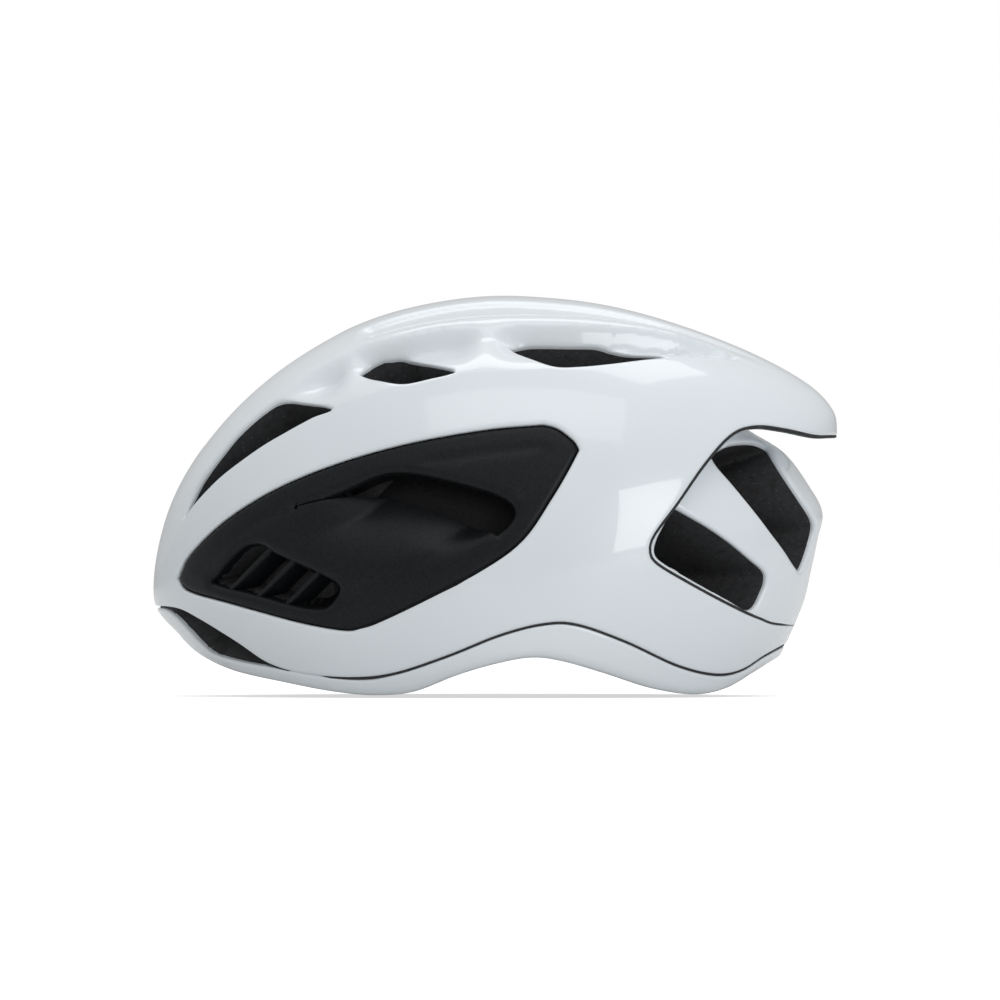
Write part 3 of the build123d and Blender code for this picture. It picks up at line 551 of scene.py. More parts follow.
SLOT = centre_slot()
BROW = np.vstack([flat_line(SEAM_LINE[:6]), flat_line(LOWER_FRONT)[::-1]])


def half_boundary(bottom):
    """Left half of the shell: a bottom line, the tail cut and the middle plane with the centre vent."""
    cut = TAIL_CUT if TAIL_CUT[0][1] < TAIL_CUT[-1][1] else TAIL_CUT[::-1]
    return np.vstack([
        bottom[:-1], OUTER.edge(bottom[-1], cut[0], STEP)[:-1], cut[:-1],
        OUTER.edge(cut[-1], SLOT[-1], STEP)[:-1], SLOT[::-1][:-1], OUTER.edge(SLOT[0], bottom[0], STEP)[:-1],
    ])


def grown(loop, amount):
    """A flat loop grown about its own edge."""
    ahead = np.roll(loop, -1, axis=0) - np.roll(loop, 1, axis=0)
    normal = np.column_stack([ahead[:, 1], -ahead[:, 0]])
    normal /= np.linalg.norm(normal, axis=1)[:, None]
    area = np.sum(loop[:, 0] * np.roll(loop[:, 1], -1) - np.roll(loop[:, 0], -1) * loop[:, 1])
    return loop + normal * amount * np.sign(area)


def to_openings(q):
    return np.minimum(boundary_distance(q, VENTS), distance(q, SLOT))


def make_upper_shell(material, crown_material):
    boundary = half_boundary(SEAM)
    hole = grown(PANEL, PANEL_GAP)
    verts, tris, loops = surface(OUTER, boundary, VENTS + [hole], SHELL_RINGS, STEP, (RIDGE, BAND))
    to_seams = np.min([distance(verts, SEAM), distance(verts, TAIL_CUT), distance(verts, hole, True)], axis=0)
    depth = relief(verts) + rounding(to_openings(verts), VENT_ROLL) + rounding(to_seams, SKIN_EDGE)
    points, faces = both_sides(*thick_sheet(OUTER, verts, tris, loops, depth, SKIN))
    obj = make_object("upper_shell_skin", points, faces, material, "shell")
    middles = np.array([points[f].mean(0) for f in faces])
    on_crown = middles[:, 2] > np.interp(middles[:, 0], *np.array(BAND_LINE).T)
    second_material(obj, crown_material, on_crown)
    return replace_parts(obj, "upper_shell")


def make_lower_shell(material):
    top = [(x, z - 0.9) for x, z in SEAM_LINE[6:]]
    line = clipped(OUTER, LOWER_FRONT[:-1] + top, STEP)
    rear, front = OUTER.edge(RIM[-1], line[-1], 0.8), OUTER.edge(line[0], RIM[0], 0.8)
    boundary = np.vstack([RIM[:-1], rear[:-1], line[:0:-1], front[:-1]])
    verts, tris, loops = surface(OUTER, boundary, [], (0.3, 0.8, 1.5), STEP)
    depth = rounding(distance(verts, line), 0.8) + rounding(distance(verts, RIM), RIM_ROLL)
    half = thick_sheet(OUTER, verts, tris, loops, depth, LOWER_SKIN)
    obj = make_object("lower_shell_skin", *both_sides(*half), material, "shell")
    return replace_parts(obj, "lower_shell")


# ---- Side panel
SCOOP_DEEP, SCOOP_REACH, LIP_SINK, PANEL_UNDER = 13.0, 52.0, 0.8, 2.6
FLOOR_AREA = np.vstack([FLOOR, flat_line(FLOOR_START)[1:-1], flat_line(SCOOP_END)[::-1]])


def panel_depth(q, on_floor=None):
    """The scoop's floor falls away towards the lip and passes under it."""
    if on_floor is None:
        on_floor = inside(q, FLOOR_AREA) | (distance(q, FLOOR) < 0.3)
    end = flat_line(SCOOP_END, 2.0)
    fall = (1 - np.clip(distance(q, FLOOR) / SCOOP_REACH, 0, 1)) ** 1.7
    wall = smoothstep(distance(q, end) / 7) * smoothstep(distance(q, flat_line(FLOOR_START)) / 24)
    left = smoothstep((OUTER.point(q)[:, 0] + 92) / 40)
    return LIP_SINK + np.where(on_floor, SCOOP_DEEP * fall * wall * left, 0)


def make_panel(material, side):
    lip_end = flat_line(SCOOP_END)
    rings = (0.4, 1.0, 1.8, 2.8)
    verts, tris, loops = surface(OUTER, grown(PANEL, -0.1), [SCOOP, LOUVRE], rings, STEP, (lip_end,))
    to_edge, to_louvre = distance(verts, PANEL, True), distance(verts, LOUVRE, True)
    on_floor = inside(verts, FLOOR_AREA)
    on_floor[loops[1][: len(LIP)]] = False
    on_floor[loops[1][len(LIP) :]] = True
    to_lip = np.where(on_floor, 9, distance(verts, LIP))
    depth = panel_depth(verts, on_floor) + rounding(to_edge, 1.2) + rounding(to_lip, 2.4)
    groove = np.exp(-(((to_edge - 7.5) / 1.6) ** 2)) * 0.45 * (to_lip > 3)
    depth += rounding(to_louvre, 2.2) + groove
    thick = 2.2 + 2.0 * (1 - smoothstep(to_louvre / 3))
    sheet = thick_sheet(OUTER, verts, tris, loops, depth, thick)
    points, faces = joined([sheet] + [make_slat(low, high) for low, high in SLATS])
    if side > 0:
        points, faces = points * [1, -1, 1], [f[::-1] for f in faces]
    name = "left_vent_panel" if side < 0 else "right_vent_panel"
    obj = make_object(name + "_skin", points, faces, material, "shell")
    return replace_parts(obj, name)


# Section of a slat: sideways along the panel, towards the back, and inwards from its outer edge.
SLAT_SECTION = [
    (-0.9, 0.9), (-0.75, 0.25), (-0.2, 0), (0.5, 0.05), (1.05, 0.5), (1.6, 2.2), (4.2, 9.5), (3.0, 9.8),
]


def make_slat(low, high, ends=3.0, steps=14):
    """One slanted fin across the louvred opening, running on under its frame."""
    low, high = np.array(low, float), np.array(high, float)
    ahead = (high - low) / np.linalg.norm(high - low)
    line = np.linspace(low - ahead * ends, high + ahead * ends, steps)
    q = OUTER.flat(line)
    centre, inward = OUTER.place(q, PANEL_UNDER), -OUTER.normal(q)
    along = np.gradient(centre, axis=0)
    sideways = np.cross(along, inward)
    sideways *= np.sign(sideways[:, :1]) / np.linalg.norm(sideways, axis=1)[:, None]
    points = [centre + sideways * a + inward * b for a, b in SLAT_SECTION]
    return np.vstack(points), grid_faces(len(SLAT_SECTION), steps, tube=True)


# ---- Rear shell
CUT_IN = 0.5


def make_rear_shell(material):
    verts, tris, loops = surface(REAR, rear_boundary(), REAR_VENTS, SHELL_RINGS, STEP)
    depth = rounding(boundary_distance(verts, REAR_VENTS), REAR_ROLL)
    half = joined([thick_sheet(REAR, verts, tris, loops, depth, SKIN), recess_wall()])
    obj = make_object("rear_shell_skin", *both_sides(*half), material, "shell")
    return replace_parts(obj, "rear_shell")


def recess_wall(rows=14):
    """Wall of the recess, straight across from the outer form's edge to the rear form or the middle plane."""
    line = smooth_line([(x - CUT_IN, z) for x, z in REAR_CUT], STEP)
    line = line[OUTER.covers(line, 0.6)]
    outer_y = OUTER.place(OUTER.flat(line), 0.7)[:, 1]
    rear_y = np.where(REAR.covers(line), REAR.point(REAR.flat(line))[:, 1], 0.0)
    points = []
    for r in range(rows + 1):
        y = outer_y + (rear_y - outer_y) * r / rows
        points.append(np.column_stack([line[:, 0], np.minimum(y, 0), line[:, 1]]))
    return np.vstack(points), grid_faces(rows, len(line), flip=True)


# ---- Foam liner
class HeadForm:
    """The head cavity: half an ellipsoid on a straight skirt, laid flat about the crown."""

    roll = 92.0  # millimetres per radian when laid flat

    def point(self, q):
        away, turn = polar(q)
        lean = away / self.roll
        out = np.sin(np.minimum(lean, pi / 2))
        z = HEAD_HIGH * np.cos(np.minimum(lean, pi / 2)) - np.maximum(lean - pi / 2, 0) * self.roll
        x, y = HEAD_X + HEAD_LONG * out * np.cos(turn), HEAD_WIDE * out * np.sin(turn)
        return np.column_stack([x, y, HEAD_Z + z])

    def flat(self, p):
        turn = np.arctan2(p[:, 1] / HEAD_WIDE, (p[:, 0] - HEAD_X) / HEAD_LONG)
        up = p[:, 2] - HEAD_Z
        lean = np.where(up > 0, np.arccos(np.clip(up / HEAD_HIGH, -1, 1)), pi / 2 - up / self.roll)
        return self.roll * lean[:, None] * directions(turn)

    def hit(self, start, target):
        """Where lines from outside to a target inside the cavity meet its wall."""
        near, far = np.zeros(len(start)), np.ones(len(start))
        for _ in range(30):
            t = (near + far) / 2
            p = start + (target - start) * t[:, None]
            up = np.maximum(p[:, 2] - HEAD_Z, 0) / HEAD_HIGH
            share = ((p[:, 0] - HEAD_X) / HEAD_LONG) ** 2 + (p[:, 1] / HEAD_WIDE) ** 2 + up**2
            near, far = np.where(share > 1, t, near), np.where(share > 1, far, t)
        return start + (target - start) * far[:, None]


HEAD = HeadForm()
FOAM_UNDER = 0.15  # gap between the shells and the foam
LOUVRE_DEEP, TUNNEL_DEEP, BROW_VENT_DEEP, DUCT_EDGE = 15.0, 17.0, 11.0, 3.0
TUNNEL_WIDER, LOUVRE_WIDER = 5.0, 1.0
TUNNEL, LOUVRE_DUCT = grown(SCOOP, TUNNEL_WIDER), grown(LOUVRE, LOUVRE_WIDER)
DUCT_FEET = (grown(SCOOP, TUNNEL_WIDER - DUCT_EDGE), grown(LOUVRE, LOUVRE_WIDER - DUCT_EDGE))
FOAM_CREASES = (PANEL, SEAM, TUNNEL, DUCT_FEET[0], LOUVRE_DUCT, DUCT_FEET[1])
FOAM_RINGS, FOAM_STEP = (0.6, 1.6), STEP * 1.3
VENT_AIMS = [(-30, -18, 60), (-20, -30, 50), (25, -30, 50)]  # where the side channels of the liner lead
CENTRE_AIM = (-40, 0, 60)
UNDERSIDE_UP, INNER_RIM_UP = 1.0, 2.2
REAR_AIMS = [(-30, -14, 52), (-30, -20, 48)]


def well(q, loop):
    """From 0 outside a loop to 1 well inside it."""
    return inside(q, loop) * smoothstep(distance(q, loop, True) / DUCT_EDGE)


def foam_depth(q):
    """Depth of the foam under the shell, the side panel and its openings, and the brow vent."""
    under_shell = relief(q) + rounding(to_openings(q), VENT_ROLL) + SKIN
    depth = np.maximum(under_shell, rounding(distance(q, RIM), RIM_ROLL) + RIM_SKIN) + FOAM_UNDER
    ducts = np.maximum(LOUVRE_DEEP * well(q, LOUVRE_DUCT), TUNNEL_DEEP * well(q, TUNNEL))
    under_panel = np.maximum(panel_depth(q) + PANEL_UNDER, ducts)
    in_panel = inside(q, grown(PANEL, PANEL_GAP))
    return np.where(in_panel, np.maximum(depth, under_panel), depth) + BROW_VENT_DEEP * well(q, BROW)


def channel(pile, form, loop, depth, aim, open_line=False, rows=8):
    """Adds one vent's channel to the foam and returns its loop on the head form, laid flat."""
    outer = form.place(loop, depth)
    inner = HEAD.hit(outer, np.array(aim, float))
    if open_line:
        outer[[0, -1], 1] = inner[[0, -1], 1] = 0
    points = np.vstack([outer + (inner - outer) * (r / rows) for r in range(rows + 1)])
    faces = grid_faces(rows, len(outer), ring=True)
    if open_line:
        faces = [f for f in faces if f[1] % len(outer)]
    pile.append((points, faces))
    return HEAD.flat(inner)


def in_shaded_ducts(middles):
    """True for the faces behind the side panel, where the foam gets a much darker black: painted shade for
    the shadow deep in the scoop's tunnel.
    """
    side_outline = outline([PANEL_TOP, PANEL_NOSE, PANEL_BACK], 3.0)
    out = np.abs(middles[:, 1])
    return inside(middles[:, [0, 2]], side_outline) & (out > HEAD_WIDE * 0.93)


def add_beads(pile):
    """Beads of foam that fill the seams round the tail cut and above the lower shell."""
    add_tube(pile, OUTER.place(TAIL_CUT, 0.75), 0.75)
    seam = clipped(OUTER, [(x, z - 0.45) for x, z in SEAM_LINE[4:]], STEP)
    add_tube(pile, OUTER.place(seam, 0.85), 0.55)


def make_liner(material, duct_shade_material):
    pile = []
    verts, tris, _ = surface(OUTER, half_boundary(RIM), VENTS, FOAM_RINGS, FOAM_STEP, FOAM_CREASES)
    pile.append((OUTER.place(verts, foam_depth(verts)), tris))
    holes = [channel(pile, OUTER, vent, foam_depth(vent), aim) for vent, aim in zip(VENTS, VENT_AIMS)]
    slot_flat = channel(pile, OUTER, SLOT, foam_depth(SLOT), CENTRE_AIM, open_line=True)

    verts, tris, _ = surface(REAR, rear_boundary(), REAR_VENTS, FOAM_RINGS, FOAM_STEP)
    pile.append((REAR.place(verts, rear_foam_depth(verts)), tris))
    for vent, aim in zip(REAR_VENTS, REAR_AIMS):
        holes.append(channel(pile, REAR, vent, rear_foam_depth(vent), aim))

    add_beads(pile)
    rim_outer = OUTER.place(RIM, foam_depth(RIM))
    rim_outer[:, 2] += UNDERSIDE_UP
    inner_rim = inner_rim_line(rim_outer)
    add_underside(pile, rim_outer, inner_rim)
    add_head_wall(pile, HEAD.flat(inner_rim), slot_flat, holes)
    points, faces = both_sides(*joined(pile))
    obj = make_object("foam_liner_body", points, faces, material, "shell", 55)
    # painted shade: the foam faces behind the side panel take the darker material
    second_material(obj, duct_shade_material, in_shaded_ducts(np.array([points[f].mean(0) for f in faces])))
    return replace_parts(obj, "foam_liner")


def inner_rim_line(rim_outer):
    turn = np.arctan2(rim_outer[:, 1] / HEAD_WIDE, (rim_outer[:, 0] - HEAD_X) / HEAD_LONG)
    turn[0], turn[-1] = -pi, 0
    x = HEAD_X + HEAD_LONG * np.cos(turn)
    y = HEAD_WIDE * np.sin(turn)
    y[[0, -1]] = 0
    return np.column_stack([x, y, np.interp(x, *np.array(RIM_LINE).T) + INNER_RIM_UP])


def add_tube(pile, centre, radius, sides=6):
    """A thin bead of foam that shows between two shells."""
    along = np.gradient(centre, axis=0)
    along /= np.linalg.norm(along, axis=1)[:, None]
    across = np.cross(along, [0, 1, 0])
    across /= np.maximum(np.linalg.norm(across, axis=1), 1e-6)[:, None]
    other = np.cross(along, across)
    turns = [2 * pi * r / sides for r in range(sides)]
    points = [centre + radius * (across * cos(turn) + other * sin(turn)) for turn in turns]
    pile.append((np.vstack(points), grid_faces(sides, len(centre), tube=True)))


def add_underside(pile, outer, inner, rows=10):
    """The rounded band between the outer and the inner edge of the rim."""
    points = []
    for r in range(rows + 1):
        t = r / rows
        row = outer + (inner - outer) * t
        row[:, 2] -= 0.5 * (1 - (2 * t - 1) ** 4)
        points.append(row)
    pile.append((np.vstack(points), grid_faces(rows, len(outer), flip=True)))


def along_middle(a, b):
    """Points on the flat cavity's middle line, about 3 mm apart, without the last one."""
    count = max(2, int(abs(b - a) / 3))
    return np.column_stack([np.linspace(a, b, count), np.zeros(count)])[:-1]


def add_head_wall(pile, rim, slot, holes):
    """The head cavity's wall with the mouths of the channels."""
    slot = slot if slot[0][0] > slot[-1][0] else slot[::-1]
    rim[[0, -1], 1] = 0
    loop = np.vstack([
        rim[:-1], along_middle(rim[-1][0], slot[0][0]), slot[:-1], along_middle(slot[-1][0], rim[0][0]),
    ])
    loop[np.abs(loop[:, 1]) < 1e-6, 1] = 0
    verts, tris, _ = fill(loop, holes, (0.7, 1.8), 3.0)
    points = HEAD.point(verts)
    points[np.abs(verts[:, 1]) < 1e-6, 1] = 0
    a, b, c = (points[tris[:, k]] for k in range(3))
    inward = np.einsum("ij,ij->i", np.cross(b - a, c - a), [HEAD_X, 0, HEAD_Z] - (a + b + c) / 3).sum()
    pile.append((points, tris if inward > 0 else tris[:, ::-1]))


def rear_boundary():
    inner_cut = clipped(REAR, [(x - CUT_IN, z) for x, z in REAR_CUT], STEP)
    if inner_cut[0][1] > inner_cut[-1][1]:
        inner_cut = inner_cut[::-1]
    return np.vstack([inner_cut[:-1], REAR.edge(inner_cut[-1], inner_cut[0], STEP)[:-1]])


def rear_foam_depth(q):
    return rounding(boundary_distance(q, REAR_VENTS), REAR_ROLL) + SKIN + FOAM_UNDER


# ---- Materials
class Nodes:
    """Small helper for building the node tree of a material or the world."""

    def __init__(self, owner, surface="Principled BSDF"):
        owner.use_nodes = True
        self.owner, self.tree = owner, owner.node_tree
        self.surface = self.tree.nodes[surface]

    def add(self, kind, **values):
        node = self.tree.nodes.new(kind)
        for key, value in values.items():
            if hasattr(node, key):
                setattr(node, key, value)
            else:
                node.inputs[key.replace("_", " ")].default_value = value
        return node

    def link(self, a, out, b, into):
        self.tree.links.new(a.outputs[out], b.inputs[into])

    def place(self):
        return self.add("ShaderNodeTexCoord")

    def noise(self, place, scale, detail=3.0):
        node = self.add("ShaderNodeTexNoise", Scale=scale, Detail=detail)
        self.link(place, "Object", node, "Vector")
        return node

    def ramp(self, source, output, stops):
        """Colours by the value of a node's output."""
        node = self.add("ShaderNodeValToRGB")
        elements = node.color_ramp.elements
        while len(elements) < len(stops):
            elements.new(0.5)
        for element, (at, colour) in zip(elements, stops):
            element.position, element.color = at, (*colour, 1)
        self.link(source, output, node, "Fac")
        return node

    def colour(self, source, output, stops):
        self.link(self.ramp(source, output, stops), "Color", self.surface, "Base Color")

    def bump(self, source, output, strength, distance_m):
        node = self.add("ShaderNodeBump", Strength=strength, Distance=distance_m)
        self.link(source, output, node, "Height")
        self.link(node, "Normal", self.surface, "Normal")

    def finish(self, **values):
        """Sets plain values on the surface's own sockets and returns the material."""
        for key, value in values.items():
            self.surface.inputs[key.replace("_", " ")].default_value = value
        return self.owner


def paint(name, light, dark, roughness):
    """Clear-coated gloss paint with a slight drift of tone."""
    n = Nodes(bpy.data.materials.new(name))
    n.colour(n.noise(n.place(), 9.0), "Fac", [(0.35, dark), (0.65, light)])
    n.bump(n.noise(n.place(), 420.0, 1.0), "Fac", 0.05, 0.0002)
    return n.finish(Roughness=roughness, Coat_Weight=0.8, Coat_Roughness=0.04, Specular_IOR_Level=0.5)


def matte_plastic(name, colour, roughness, grain, gloss=0.5):
    """Moulded plastic with a fine spark-eroded grain."""
    n = Nodes(bpy.data.materials.new(name))
    fine = n.noise(n.place(), grain, 2.0)
    lighter = tuple(c * 1.35 + 0.004 for c in colour)
    n.colour(fine, "Fac", [(0.3, colour), (0.75, lighter)])
    n.bump(fine, "Fac", 0.25, 0.0002)
    return n.finish(Roughness=roughness, Specular_IOR_Level=gloss)


def foam(name):
    """Expanded foam: fused beads with dark joints and a few pits."""
    n = Nodes(bpy.data.materials.new(name))
    place = n.place()
    beads = n.add("ShaderNodeTexVoronoi", Scale=430.0)
    n.link(place, "Object", beads, "Vector")
    tones = [(0.0, (0.030, 0.031, 0.033)), (0.6, (0.024, 0.025, 0.027)), (0.95, (0.015, 0.015, 0.016))]
    specks = n.ramp(n.noise(place, 1500.0, 1.0), "Fac", [(0.70, (0, 0, 0)), (0.76, (0.10, 0.10, 0.10))])
    both = n.add("ShaderNodeMix", data_type="RGBA", blend_type="ADD", Factor=1.0)
    n.link(n.ramp(beads, "Distance", tones), "Color", both, 6)
    n.link(specks, "Color", both, 7)
    n.link(both, 2, n.surface, "Base Color")
    n.bump(beads, "Distance", -0.35, 0.0004)
    return n.finish(Roughness=0.75, Specular_IOR_Level=0.35)


def fabric(name, colour, thread_mm, fuzz):
    """Woven cloth: two crossing sets of threads, with a soft sheen."""
    n = Nodes(bpy.data.materials.new(name))
    place = n.place()
    weave = n.add("ShaderNodeMath", operation="MAXIMUM")
    settings = {"Scale": 157.0 / thread_mm, "Distortion": 1.2, "Detail": 1.0}
    for k, direction in enumerate("XZ"):
        wave = n.add("ShaderNodeTexWave", bands_direction=direction, **settings)
        n.link(place, "Object", wave, "Vector")
        n.link(wave, "Fac", weave, k)
    lighter = tuple(c * 2.2 + 0.006 for c in colour)
    n.colour(weave, 0, [(0.2, colour), (0.95, lighter)])
    n.bump(weave, 0, 0.6, 0.0003)
    return n.finish(Roughness=0.85, Sheen_Weight=fuzz, Sheen_Roughness=0.5, Specular_IOR_Level=0.3)


def steel(name):
    """Turned screw steel with fine streaks."""
    n = Nodes(bpy.data.materials.new(name))
    streaks = n.noise(n.place(), 1500.0, 2.0)
    n.colour(streaks, "Fac", [(0.3, (0.42, 0.42, 0.43)), (0.7, (0.58, 0.58, 0.59))])
    n.bump(streaks, "Fac", 0.15, 0.0001)
    return n.finish(Metallic=1.0, Roughness=0.32)


WHITE = paint("shell_white", (0.72, 0.772, 0.81), (0.695, 0.747, 0.785), 0.28)
CROWN_WHITE = paint("shell_crown", (0.75, 0.80, 0.838), (0.72, 0.77, 0.808), 0.3)
GREY = paint("shell_grey", (0.74, 0.79, 0.825), (0.715, 0.765, 0.80), 0.3)
PANEL_BLACK = matte_plastic("panel_black", (0.0032, 0.0045, 0.0056), 0.38, 900.0, 0.2)
# painted shade: a near-black plastic, darker than the foam, for the foam behind the side panel; it stands in
# for the shadow in the tunnels
DUCT_PAINTED_SHADE = matte_plastic("duct_painted_shade", (0.003, 0.0032, 0.0035), 0.5, 700.0, 0.15)
FOAM = foam("foam_black")
PAD_CLOTH = fabric("pad_fabric", (0.012, 0.012, 0.014), 0.9, 0.35)
WEBBING = fabric("webbing_black", (0.01, 0.01, 0.011), 1.4, 0.15)
NYLON = matte_plastic("nylon_black", (0.014, 0.014, 0.016), 0.5, 1300.0)
RUBBER = matte_plastic("grip_rubber", (0.02, 0.02, 0.022), 0.78, 1800.0)
STEEL = steel("screw_steel")


# ---- Pads
PAD_MIDDLE = 2.8  # depth of a pad's middle layer under the cavity's wall
BROW_PAD = [(-92, 10), (-74, 12), (-74, 26.5), (-112, 26.5), (-112, 13)]
CROWN_PADS = {"crown_pad_front": (-78, -24), "crown_pad_rear": (15, 66)}
CROWN_PAD_HALF = 13.0
SIDE_PADS = [
    [(-82, 60), (-50, 60), (-38, 84), (-44, 96), (-68, 90)],
    [(32, 60), (64, 60), (58, 84), (42, 96), (24, 92)],
]
VOXEL, SLIM, PRESSURE, SWELL, CLOTH_STEPS = 0.0017, 0.7, 4.0, 1.0, 20
RING_X, CRADLE_PADS = 8.0, 63.8  # centre of the fit ring; radius of the middle layer of the pads on it
CRADLE_PAD_LOW, CRADLE_PAD_HIGH, CRADLE_PAD_AT, CRADLE_PAD_HALF = 13, 47, 20, 8  # mm, mm, degrees, degrees


def cad_copy(node, name):
    """A free copy of a CAD node's mesh."""
    obj = add_object(name, frame["nodes"][node].data.copy())
    obj.data.materials.clear()
    return obj


def coordinates(mesh):
    values = np.empty(len(mesh.vertices) * 3)
    mesh.vertices.foreach_get("co", values)
    return values.reshape(-1, 3)


def move_to(mesh, points):
    mesh.vertices.foreach_set("co", np.ascontiguousarray(points, float).ravel())
    mesh.update()


def apply_modifiers(obj):
    graph = bpy.context.evaluated_depsgraph_get()
    mesh = bpy.data.meshes.new_from_object(obj.evaluated_get(graph))
    obj.modifiers.clear()
    obj.data = mesh


def normals(mesh):
    values = np.empty(len(mesh.vertices) * 3)
    mesh.vertex_normals.foreach_get("vector", values)
    return values.reshape(-1, 3)


def swell(obj):
    """Cloth simulation of a stuffed cover. No point moves further than SWELL."""
    start = coordinates(obj.data)
    cloth = obj.modifiers.new("cover", "CLOTH")
    cloth.settings.use_pressure = True
    cloth.settings.uniform_pressure_force = PRESSURE
    cloth.settings.effector_weights.gravity = 0
    cloth.settings.tension_stiffness = cloth.settings.compression_stiffness = 12
    cloth.settings.quality = 4
    cloth.point_cache.frame_start, cloth.point_cache.frame_end = 1, CLOTH_STEPS
    for step in range(1, CLOTH_STEPS + 1):
        bpy.context.scene.frame_set(step)
    apply_modifiers(obj)
    bpy.context.scene.frame_set(1)
    moved = coordinates(obj.data) - start
    length = np.linalg.norm(moved, axis=1)[:, None]
    move_to(obj.data, start + moved * np.minimum(1, SWELL * MM / np.maximum(length, 1e-9)))


def pinch(points, edge_distance, layer):
    """Draws a pad's faces together towards its welded edge and along a seam next to it."""
    middle, across = layer(points)
    offset = np.einsum("ij,ij->i", points - middle, across)
    d = edge_distance(points)
    keep = 1 - 0.72 * np.exp(-((d / 2.1) ** 2)) - 0.22 * np.exp(-(((d - 5.2) / 0.9) ** 2))
    return middle + across * (offset * keep)[:, None]


def wall_layer(points):
    """Nearest points of the pads' middle layer, and the directions across it."""
    p = points - [HEAD_X, 0, HEAD_Z]
    up = np.maximum(p[:, 2], 0)
    g = np.sqrt((p[:, 0] / HEAD_LONG) ** 2 + (p[:, 1] / HEAD_WIDE) ** 2 + (up / HEAD_HIGH) ** 2)
    slope = np.column_stack([p[:, 0] / HEAD_LONG**2, p[:, 1] / HEAD_WIDE**2, up / HEAD_HIGH**2]) / g[:, None]
    steep = np.linalg.norm(slope, axis=1)
    depth = (1 - g) / steep
    across = slope / steep[:, None]
    return points + across * (depth - PAD_MIDDLE)[:, None], across


def ring_layer(points):
    """The same for the pads on the cradle, which follow the fit ring."""
    p = points[:, :2] - [RING_X, 0]
    r = np.linalg.norm(p, axis=1)
    across = np.column_stack([p / r[:, None], np.zeros(len(p))])
    return points + across * (CRADLE_PADS - r)[:, None], across


def make_pad(node, body, material, edge_distance, layer=wall_layer):
    obj = cad_copy(node, node + "_cover")
    remesh = obj.modifiers.new("even", "REMESH")
    remesh.mode, remesh.voxel_size = "VOXEL", VOXEL
    apply_modifiers(obj)
    move_to(obj.data, coordinates(obj.data) - normals(obj.data) * SLIM * MM)
    swell(obj)
    obj.modifiers.new("finer", "SUBSURF").levels = 1
    apply_modifiers(obj)
    move_to(obj.data, pinch(coordinates(obj.data) / MM, edge_distance, layer) * MM)
    obj.modifiers.new("soften", "SMOOTH").iterations = 2
    apply_modifiers(obj)
    obj.data.materials.clear()
    obj.data.materials.append(material)
    obj.data.shade_smooth()
    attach(obj, body)
    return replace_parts(obj, node)


def make_pads(material):
    def to_outlines(outlines):
        loops = [resample(np.array(line + line[:1], float), 1.0) for line in outlines]
        return lambda p: boundary_distance(p[:, [0, 2]], loops)

    make_pad("brow_pad", "shell", material, to_outlines([BROW_PAD]))
    for name in ("left_side_pads", "right_side_pads"):
        make_pad(name, "shell", material, to_outlines(SIDE_PADS))
    for name, (x0, x1) in CROWN_PADS.items():
        make_pad(name, "shell", material, lambda p, x0=x0, x1=x1: np.minimum(
            np.minimum(p[:, 0] - x0, x1 - p[:, 0]), CROWN_PAD_HALF - np.abs(p[:, 1])))

    def to_occipital_edge(p):
        run = np.abs(np.degrees(np.arctan2(p[:, 1], p[:, 0] - RING_X)))
        sideways = np.radians(CRADLE_PAD_HALF - np.abs(run - CRADLE_PAD_AT)) * 64
        return np.min([p[:, 2] - CRADLE_PAD_LOW, CRADLE_PAD_HIGH - p[:, 2], sideways], axis=0)

    make_pad("occipital_pads", "fit_ring", material, to_occipital_edge, ring_layer)


# ---- Webbing
WEB_HALF, WEB_THICK, WEB_MIDDLE, STRAP_HALF_THICK = 7.5, 1.2, 1.0, 0.57
FRONT_STRAP = ((-42, 11), (-12, 88))
REAR_STRAP = ((38, 19.3), (3, 86))
CHIN_X, CHIN_LOW, CHORD_Z, CHORD_END = -5.0, 92.6, 116.0, 18.2
ACROSS = np.array([-1, -0.97, -0.85, -0.55, 0, 0.55, 0.85, 0.97, 1])
WEB_FULL = np.array([0.35, 0.75, 1, 1, 1, 1, 1, 0.75, 0.35])


def wall_point(x, z, inset):
    up = np.maximum(z - HEAD_Z, 0) / (HEAD_HIGH - inset)
    share = 1 - ((x - HEAD_X) / (HEAD_LONG - inset)) ** 2 - up**2
    return np.column_stack([x, (HEAD_WIDE - inset) * np.sqrt(np.maximum(share, 0)), z])


def ribbon(name, grid_out, grid_in, side, material):
    """Closed strip from two grids of points, along and across."""
    rows, columns = grid_out.shape[:2]
    section = np.concatenate([grid_out, grid_in[:, ::-1]], axis=1)
    around = section.shape[1]
    points = section.reshape(-1, 3) * [1, side, 1]
    faces = grid_faces(rows - 1, around, ring=True)
    for r in (0, rows - 1):
        for k in range(columns - 1):
            a, b = r * around + k, r * around + around - 1 - k
            faces.append([a, a + 1, b - 1, b])
    obj = make_object(name, points, faces, material, None, 50)
    mesh = bmesh.new()
    mesh.from_mesh(obj.data)
    bmesh.ops.recalc_face_normals(mesh, faces=mesh.faces)
    mesh.to_mesh(obj.data)
    mesh.free()
    return obj


def side_strap(name, ends, side, material, steps=44):
    """Webbing with a fine rib across it, along the cavity's wall, straight in the side view."""
    start, end = np.array(ends[0], float), np.array(ends[1], float)
    ahead = (end - start) / np.linalg.norm(end - start)
    run = np.linspace(0, 1, steps)[:, None, None]
    flat = start + (end - start) * run + np.array([-ahead[1], ahead[0]]) * WEB_HALF * ACROSS[None, :, None]
    rib = 0.06 * np.cos(np.arange(steps) * pi)[:, None]
    grids = []
    for sign in (-1, 1):
        inset = WEB_MIDDLE + sign * (STRAP_HALF_THICK * WEB_FULL[None, :] + rib)
        wall = wall_point(flat[..., 0].ravel(), flat[..., 1].ravel(), inset.ravel())
        grids.append(wall.reshape(steps, len(ACROSS), 3))
    obj = ribbon(name + "_webbing", grids[0], grids[1], side, material)
    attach(obj, "shell")
    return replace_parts(obj, name)


